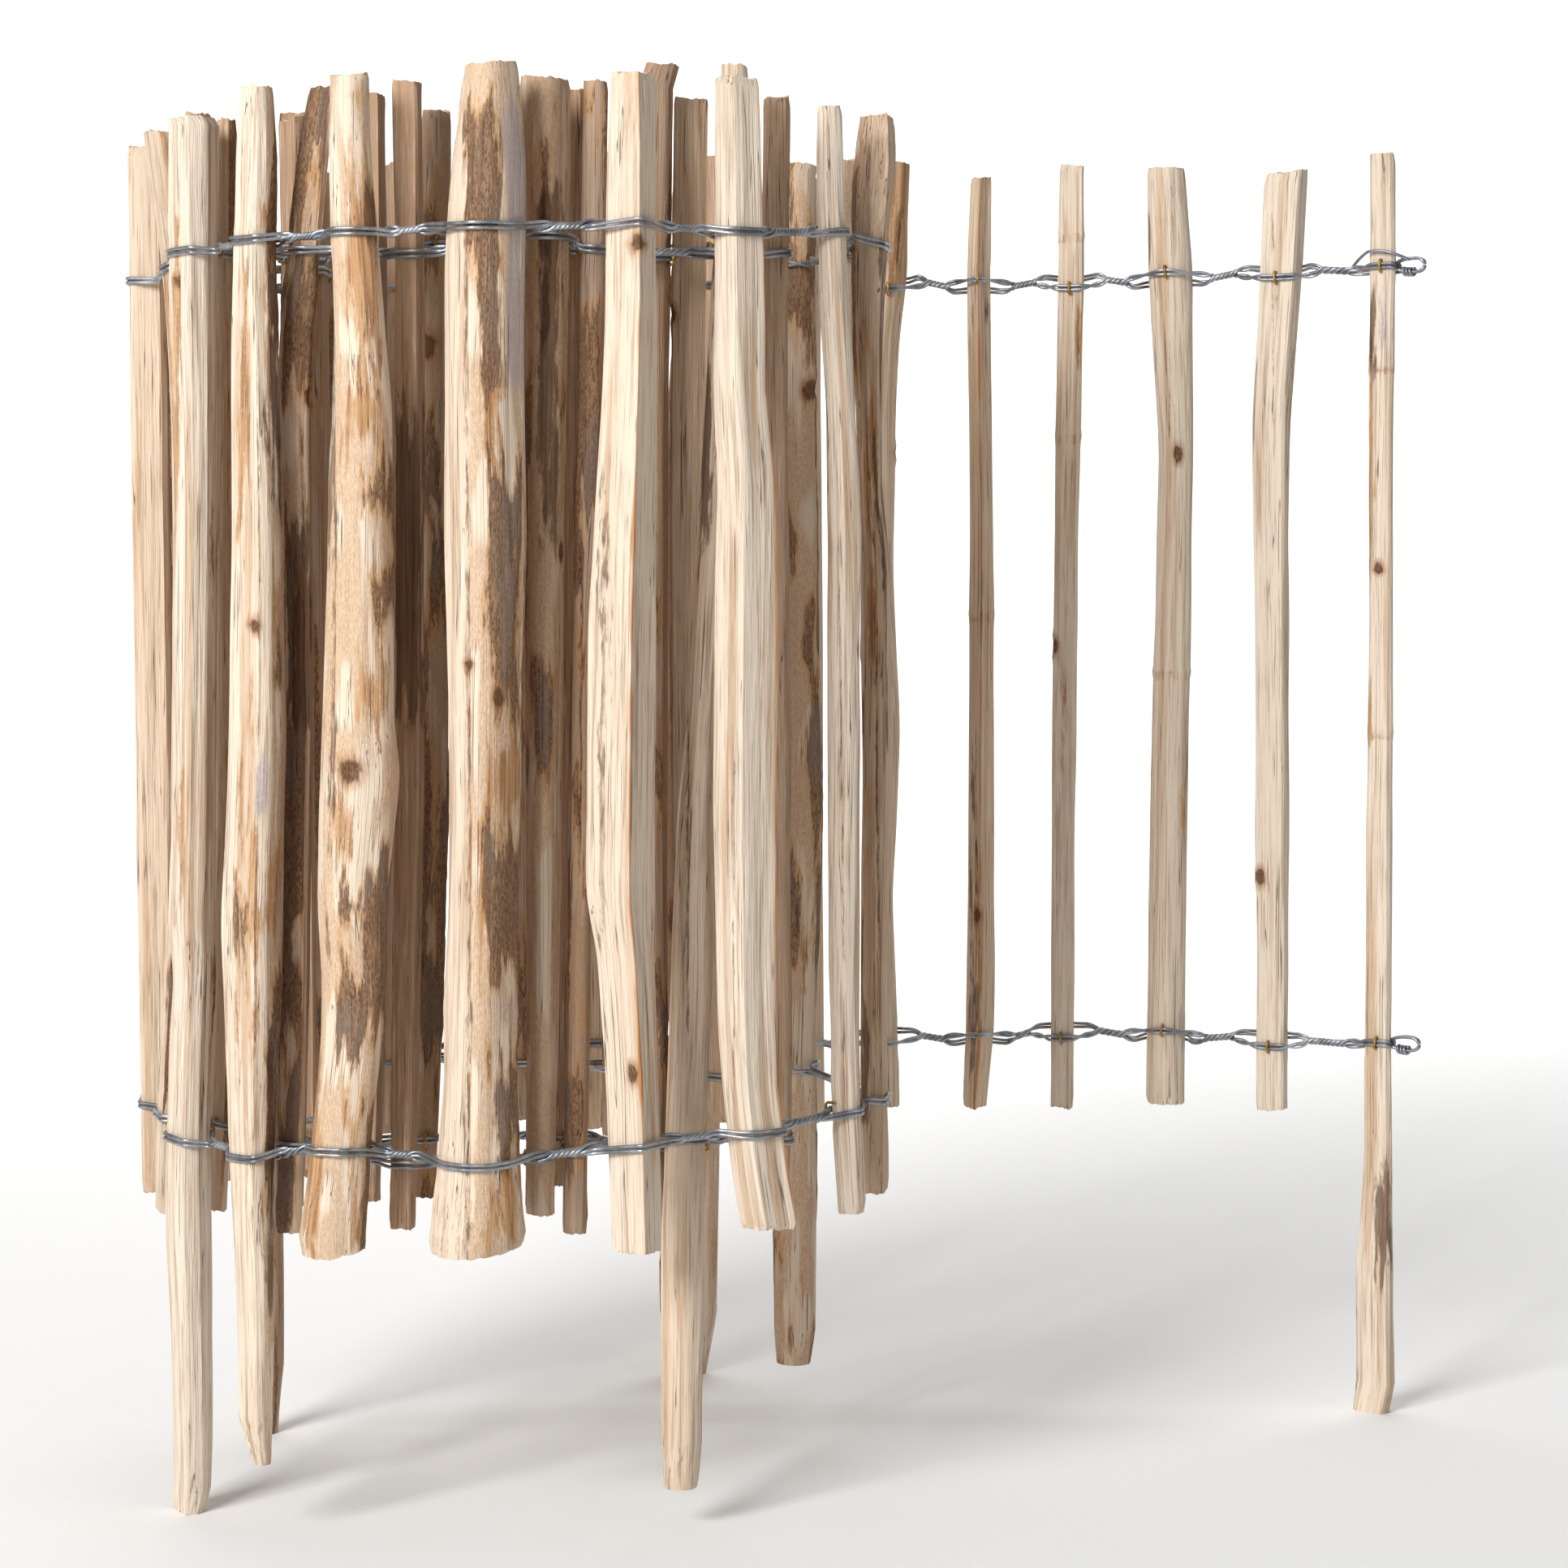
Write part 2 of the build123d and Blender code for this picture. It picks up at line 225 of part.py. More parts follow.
        (788.3, -60.7, -115.0, 18.1, 8.5), (784.8, -60.9, -115.0, 19.1, 8.9), (621.0, -63.2, -115.0, 18.8, 8.8),
        (396.5, -63.6, -115.0, 17.2, 8.0), (214.1, -62.9, -115.0, 15.5, 7.2), (177.4, -62.9, -115.0, 14.7, 6.8),]),
    ("pale_36", "W", 104.0, (700.2, 212.5), (-0.06, -0.02), [
        (804.5, -75.3, -135.0, 18.2, 15.2), (791.4, -79.3, -135.0, 19.2, 16.0), (620.5, -81.8, -135.0, 18.9, 16.0),
        (398.1, -83.3, -135.0, 19.1, 16.0), (217.6, -82.9, -135.0, 17.4, 16.0), (172.0, -82.4, -135.0, 16.5, 15.2),]),
    ("pale_37", "S", 90.0, (704.1, 217.2), (0.07, 0.03), [
        (790.8, -126.3, -133.0, 16.5, 14.4), (787.3, -126.0, -133.0, 17.4, 15.2),
        (620.5, -125.7, -133.0, 16.2, 14.0), (397.9, -128.0, -133.0, 15.5, 14.0),
        (217.2, -130.6, -133.0, 13.8, 14.0), (190.8, -132.5, -133.0, 13.1, 13.3),]),
    ("pale_38", "R", 90.0, (707.8, 217.2), (-0.08, 0.1), [
        (779.6, -197.5, -135.0, 15.4, 17.3), (774.0, -197.5, -135.0, 16.2, 18.2),
        (620.5, -198.1, -135.0, 15.4, 16.0), (398.1, -201.0, -135.0, 14.6, 16.0),
        (217.6, -206.8, -135.0, 12.8, 16.0), (184.8, -208.4, -135.0, 12.2, 15.2),]),
    ("pale_39", "Q", 70.8, (701.5, 212.5), (-0.06, -0.05), [
        (788.6, -234.7, -133.0, 15.8, 14.5), (784.7, -234.6, -133.0, 16.6, 15.3),
        (620.5, -234.6, -133.0, 16.0, 14.0), (397.9, -234.6, -133.0, 14.1, 14.0),
        (217.2, -239.3, -133.0, 13.2, 14.0), (181.7, -240.3, -133.0, 12.5, 13.3),]),
    ("pale_40", "B", 31.8, (701.9, 210.0), (0.05, -0.03), [
        (777.9, -278.2, -105.0, 22.2, 10.4), (773.5, -277.9, -105.0, 23.4, 10.9),
        (621.3, -276.9, -105.0, 22.8, 10.6), (395.6, -278.2, -105.0, 23.0, 10.7), (212.4, -281.5, -105.0, 15.0, 7.0),
        (173.1, -283.1, -105.0, 14.2, 6.6),]),
    ("pale_41", "H", 3.0, (707.9, 213.4), (-0.04, -0.09), [
        (785.9, -287.2, -47.1, 25.3, 15.6), (777.9, -287.2, -46.4, 26.6, 16.4), (631.8, -287.2, -47.0, 25.3, 15.6),
        (485.8, -287.0, -48.2, 26.0, 16.0), (339.7, -286.9, -49.8, 25.6, 15.8), (193.7, -286.8, -51.3, 24.8, 15.2),
        (185.7, -286.8, -51.4, 23.6, 14.4),]),
    ("pale_42", "S", -1.9, (703.6, 217.6), (-0.08, 0.02), [
        (768.6, -285.1, 12.1, 26.5, 15.1), (760.6, -285.0, 13.1, 27.9, 15.9), (615.0, -285.0, 13.0, 29.2, 16.7),
        (469.4, -285.0, 11.9, 29.4, 16.8), (323.8, -285.0, 10.3, 29.3, 16.7), (178.1, -285.0, 8.8, 27.6, 15.8),
        (170.1, -285.0, 8.7, 26.2, 15.0),]),
]

# corner outlines of a split pale, in half widths (along the fence) and half thicknesses
# (across it): S slab, H half round with its flat outwards, B half round with its bark outwards,
# W wedge with its ridge outwards, R nearly round, Q quarter
OUTLINES = {
    "S": [(-1, -.7), (-.8, -1), (.75, -1), (1, -.75), (1, .7), (.9, 1), (-.85, 1), (-1, .8)],
    "H": [(-.95, .1), (-.65, -.6), (-.2, -1), (.3, -.98), (.72, -.55), (1, .2), (.92, 1), (-1, .95)],
    "B": [(-1, -1), (1, -.9), (1, -.25), (.72, .5), (.3, .95), (-.2, 1), (-.68, .6), (-.98, -.2)],
    "W": [(-1, -.35), (-.6, -.9), (0, -1), (.6, -.85), (1, -.3), (.5, .35), (0, 1), (-.5, .33)],
    "R": [(-.95, -.3), (-.4, -1), (.35, -.95), (.95, -.45), (1, .35), (.45, .95), (-.35, 1), (-.92, .4)],
    "Q": [(-1, -.8), (-.1, -1), (.6, -.85), (.95, -.3), (1, .5), (.85, 1), (-.7, .95), (-1, .6)],
}


def axes(angle):
    v = (math.cos(math.radians(angle)), math.sin(math.radians(angle)))
    return (-v[1], v[0]), v


def corners(kind, angle, level):
    z, x, y, w, t = level
    u, v = axes(angle)
    return [(x + u[0] * a * w / 2 + v[0] * b * t / 2, y + u[1] * a * w / 2 + v[1] * b * t / 2)
            for a, b in OUTLINES[kind]]


def level_at(levels, z):
    for hi, lo in zip(levels, levels[1:]):
        if z >= lo[0]:
            f = (z - lo[0]) / (hi[0] - lo[0])
            return tuple(l + (h - l) * f for h, l in zip(hi, lo))
    return levels[-1]


def hull(points):
    pts = sorted(set((round(x, 6), round(y, 6)) for x, y in points))

    def half(seq):
        out = []
        for p in seq:
            while len(out) > 1 and ((out[-1][0] - out[-2][0]) * (p[1] - out[-2][1])
                                    - (out[-1][1] - out[-2][1]) * (p[0] - out[-2][0])) <= 1e-9:
                out.pop()
            out.append(p)
        return out
    lower, upper = half(pts), half(pts[::-1])
    return lower[:-1] + upper[:-1]


def grow(poly, d):
    """A convex outline moved out by d all round, with its corners mitred."""
    out = []
    n = len(poly)
    for i in range(n):
        a, b, c = poly[i - 1], poly[i], poly[(i + 1) % n]
        n1 = unit(b[1] - a[1], a[0] - b[0])
        n2 = unit(c[1] - b[1], b[0] - c[0])
        k = 1 + n1[0] * n2[0] + n1[1] * n2[1]
        if k > 0.25:
            out.append((b[0] + d * (n1[0] + n2[0]) / k, b[1] + d * (n1[1] + n2[1]) / k))
        else:
            m = unit(n1[0] + n2[0], n1[1] + n2[1])
            for q in (n1, n2):
                s = unit(q[0] + m[0], q[1] + m[1])
                c2 = q[0] * s[0] + q[1] * s[1]
                out.append((b[0] + d * s[0] / c2, b[1] + d * s[1] / c2))
    return hull(out)


def unit(x, y):
    n = math.hypot(x, y)
    return (x / n, y / n)


def taut(start, end, poly, side):
    """The stretched way from start to end round one side of a convex outline.
    side is +1 to pass on the right of the way, -1 to pass on its left."""
    h = hull([start, end] + poly)
    key = lambda p: (round(p[0], 6), round(p[1], 6))
    if key(start) not in h or key(end) not in h:
        # a tight gap: follow every corner that lies on this side of the straight way
        on = [p for p in hull(poly) if side * ((p[0] - start[0]) * (end[1] - start[1])
                                               - (p[1] - start[1]) * (end[0] - start[0])) > 0]
        d = unit(end[0] - start[0], end[1] - start[1])
        on.sort(key=lambda p: p[0] * d[0] + p[1] * d[1])
        return [start] + on + [end]
    i, j = h.index(key(start)), h.index(key(end))
    n = len(h)
    way = []
    k = i
    while True:
        way.append(h[k])
        if k == j:
            break
        k = (k + side) % n      # counter-clockwise keeps the outline on the left
    return way


def thin(way):
    """Leave out points too close together or all but in line."""
    out = [way[0]]
    for i, p in enumerate(way[1:-1], 1):
        q = way[i + 1]
        if math.dist(out[-1], p) < 0.9:
            continue
        a, b = unit(p[0] - out[-1][0], p[1] - out[-1][1]), unit(q[0] - p[0], q[1] - p[1])
        if math.dist(p, q) > 1e-6 and abs(a[0] * b[1] - a[1] * b[0]) < 0.004:
            continue
        out.append(p)
    if math.dist(out[-1], way[-1]) < 0.9 and len(out) > 1:
        out.pop()
    out.append(way[-1])
    return out


def wire_outline(picket, line):
    """Outline of the wood at a wire, over the height that the wires cover."""
    name, kind, angle, heights, cut, levels = picket
    z = heights[line]
    pts = []
    for dz in (-3, 0, 3):
        pts += corners(kind, angle, level_at(levels, z + dz))
    out = []
    for p in hull(pts):
        if not out or math.dist(out[-1], p) > 0.6:
            out.append(p)
    return out


def wire_ways(line):
    """Plan of the two pairs of one wire line: on the right and on the left of the pales,
    counted from the free end. Each point is (x, y, z)."""
    wood = [wire_outline(p, line) for p in PICKETS]
    mid = [(sum(x for x, y in w) / len(w), sum(y for x, y in w) / len(w)) for w in wood]
    n = len(PICKETS)
    right, left = [], []
    off = wire_d / 2 + 0.25
    for i in range(n):
        clear = grow(wood[i], wire_d / 2 + wire_gap)
        ends = []
        for j, s in ((i - 1, -1), (i + 1, 1)):
            if j < 0 or j >= n:
                k = (i + 1 if j < 0 else i - 1)
                d = unit(mid[i][0] - mid[k][0], mid[i][1] - mid[k][1])
                reach = max((x - mid[i][0]) * d[0] + (y - mid[i][1]) * d[1] for x, y in wood[i])
                ends.append(((mid[i][0] + d[0] * (reach + loop_reach), mid[i][1] + d[1] * (reach + loop_reach)), d))
                continue
            d = unit(mid[j][0] - mid[i][0], mid[j][1] - mid[i][1])
            reach = max((x - mid[i][0]) * d[0] + (y - mid[i][1]) * d[1] for x, y in wood[i])
            back = max(-(x - mid[j][0]) * d[0] - (y - mid[j][1]) * d[1] for x, y in wood[j])
            free = math.dist(mid[i], mid[j]) - reach - back
            lead = reach + min(gap_lead, 0.42 * free)
            ends.append(((mid[i][0] + d[0] * lead, mid[i][1] + d[1] * lead), d))
        (s0, d0), (s1, d1) = ends
        along0, along1 = (-d0[0], -d0[1]), d1
        for side, way in ((1, right), (-1, left)):
            a = (s0[0] + side * off * along0[1], s0[1] - side * off * along0[0])
            b = (s1[0] + side * off * along1[1], s1[1] - side * off * along1[0])
            z = PICKETS[i][3][line]
            pts = [(x, y, z) for x, y in thin(taut(a, b, clear, side))]
            way.append(pts)
    for way in (right, left):       # the pairs climb or drop evenly between two pales
        for i in range(n - 1):
            a, b, c, d = way[i][-2], way[i][-1], way[i + 1][0], way[i + 1][1]
            ab, bc, cd = math.dist(a[:2], b[:2]), math.dist(b[:2], c[:2]), math.dist(c[:2], d[:2])
            rise = (d[2] - a[2]) / (ab + bc + cd)
            way[i][-1] = (b[0], b[1], a[2] + rise * ab)
            way[i + 1][0] = (c[0], c[1], a[2] + rise * (ab + bc))
    return right, left


def whole(way):
    """One run of points, with no bend so close to the next that the wire would cut itself."""
    out, gaps = [], []
    for pts in way:
        for k, p in enumerate(pts):
            if not out or math.dist(out[-1], p) > 0.5:
                out.append(p)
                gaps.append(k in (0, len(pts) - 1))
    i = 1
    while i < len(out) - 2:
        a, b, c, d = out[i - 1:i + 3]
        ab, bc, cd = math.dist(a[:2], b[:2]), math.dist(b[:2], c[:2]), math.dist(c[:2], d[:2])
        u = ((b[0] - a[0]) / ab, (b[1] - a[1]) / ab)
        m = ((c[0] - b[0]) / bc, (c[1] - b[1]) / bc)
        v = ((d[0] - c[0]) / cd, (d[1] - c[1]) / cd)
        t1 = abs(math.atan2(u[0] * m[1] - u[1] * m[0], u[0] * m[0] + u[1] * m[1]))
        t2 = abs(math.atan2(m[0] * v[1] - m[1] * v[0], m[0] * v[0] + m[1] * v[1]))
        need = wire_d / 2 * (math.tan(t1 / 2) + math.tan(t2 / 2)) * 1.25
        turn = u[0] * v[1] - u[1] * v[0]
        if bc < max(need, 0.9):
            q = None
            if gaps[i] != gaps[i + 1]:
                q = b if gaps[i] else c
            elif abs(turn) > 0.05 and not gaps[i]:
                k = ((c[0] - b[0]) * v[1] - (c[1] - b[1]) * v[0]) / turn
                if 0 < k < 1.6:
                    q = (b[0] + u[0] * k, b[1] + u[1] * k, (b[2] + c[2]) / 2)
            if q is None:
                q = tuple((s + r) / 2 for s, r in zip(b, c))
            out[i:i + 2] = [q]
            gaps[i:i + 2] = [gaps[i] or gaps[i + 1]]
            i = max(1, i - 1)
        else:
            i += 1
    return out


def strand(way, dz):
    pts = [Vector(x, y, z + dz) for x, y, z in way]
    path = Wire.make_polygon(pts, close=False)
    start = Plane(origin=pts[0], z_dir=(pts[1] - pts[0]))
    made = sweep(start * Circle(wire_d / 2), path=path, transition=Transition.RIGHT)
    return made.solids()[0]


def staple_place(pts):
    """Middle of the longest straight stretch of the wires over a pale, on its inner side,
    and the way out of the wood there."""
    best = None
    if len(pts) < 3:
        return None             # inside a sharp bend the wires pass free of the wood
    if len(pts) < 4:
        a, m, b = pts
        return (m[0], m[1]), unit(a[1] - b[1], b[0] - a[0])
    for a, b in zip(pts[1:-2], pts[2:-1]):
        size = math.dist(a[:2], b[:2])
        if best is None or size > best[0]:
            best = (size, ((a[0] + b[0]) / 2, (a[1] + b[1]) / 2), unit(a[1] - b[1], b[0] - a[0]))
    return best[1], best[2]


def staple(place, out, z, depth):
    (x, y), (nx, ny) = place, out
    lift = wire_d / 2 + 0.15 + staple_d / 2
    sink = wire_d / 2 + wire_gap + depth
    crown = Vector(x + nx * lift, y + ny * lift, 0)
    tip = Vector(x - nx * sink, y - ny * sink, 0)
    pts = [tip + Vector(0, 0, z - staple_leg), crown + Vector(0, 0, z - staple_leg),
           crown + Vector(0, 0, z + staple_leg), tip + Vector(0, 0, z + staple_leg)]
    path = FilletPolyline(*pts, radius=1.2)
    made = sweep(Plane(origin=pts[0], z_dir=pts[1] - pts[0]) * Circle(staple_d / 2), path=path)
    holes = [Cylinder(staple_d / 2 + staple_fit, sink + 3.3, align=(Align.CENTER, Align.CENTER, Align.MIN)).moved(
        Plane(origin=tip + Vector(0, 0, z + s * staple_leg) - Vector(nx, ny, 0) * 0.3,
              z_dir=Vector(nx, ny, 0)).location) for s in (-1, 1)]
    return made.solids()[0], holes


def body(picket):
    name, kind, angle, heights, cut, levels = picket
    rings = []
    for i, level in enumerate(levels):
        pts = corners(kind, angle, level)
        slope = (0, 0)
        if i == 0 or (i == len(levels) - 1 and level[0] > 100):
            slope = cut
        rings.append(Wire.make_polygon(
            [Vector(x, y, level[0] + slope[0] * (x - level[1]) + slope[1] * (y - level[2])) for x, y in pts],
            close=True))
    return Solid.make_loft(rings, ruled=True)


def main():
    os.makedirs("parts", exist_ok=True)
    staples = {0: [], 1: []}
    ways = [wire_ways(0), wire_ways(1)]
    for i, p in enumerate(PICKETS):
        wood = body(p)
        holes = []
        for line in (0, 1):
            found = staple_place(ways[line][1][i])
            if found is None:
                continue
            place, out = found
            thick = level_at(p[5], p[3][line])[4]
            made, cuts = staple(place, out, p[3][line], min(staple_depth, 0.55 * thick))
            staples[line].append(made)
            holes += cuts
        if holes:
            wood = wood.cut(*holes)
            wood = wood if isinstance(wood, Solid) else wood.solids()[0]
        wood.label = p[0]
        export_step(wood, f"parts/{p[0]}.step")
    for line, word in ((0, "top"), (1, "bottom")):
        export_step(Compound(label=f"{word}_staples", children=staples[line]), f"parts/{word}_staples.step")
        for way, place in zip(ways[line], ("outer", "inner")):
            first = strand(whole(way), strand_pitch / 2)
            second = first.moved(Location((0, 0, -strand_pitch)))
            for made, tag in ((first, "upper"), (second, "lower")):
                made.label = f"{word}_wire_{place}_{tag}"
                export_step(made, f"parts/{word}_wire_{place}_{tag}.step")


if __name__ == "__main__":
    main()
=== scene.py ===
import bpy
import math
import numpy as np
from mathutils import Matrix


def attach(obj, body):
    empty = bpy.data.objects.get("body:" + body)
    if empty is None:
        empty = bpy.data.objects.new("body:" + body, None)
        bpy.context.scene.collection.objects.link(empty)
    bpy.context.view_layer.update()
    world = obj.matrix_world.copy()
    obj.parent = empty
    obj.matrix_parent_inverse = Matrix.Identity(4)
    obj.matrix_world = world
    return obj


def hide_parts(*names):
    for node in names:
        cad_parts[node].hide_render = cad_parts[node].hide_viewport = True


# Wired split-hazel edging fence, partly unrolled. The wood, the wires and the staples follow the
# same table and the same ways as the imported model, in millimetres, and are scaled to metres here.

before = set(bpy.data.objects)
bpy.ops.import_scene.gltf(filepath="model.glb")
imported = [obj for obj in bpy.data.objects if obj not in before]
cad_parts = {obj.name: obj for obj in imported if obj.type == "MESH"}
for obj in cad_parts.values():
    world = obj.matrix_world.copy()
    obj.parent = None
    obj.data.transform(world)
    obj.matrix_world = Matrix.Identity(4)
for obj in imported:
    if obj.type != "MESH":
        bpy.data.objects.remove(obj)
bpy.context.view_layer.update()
MM = 0.001

wire_d = 1.8
wire_gap = 0.4
gap_lead = 7.0
loop_reach = 13.0
staple_d = 1.6
staple_leg = 3.6

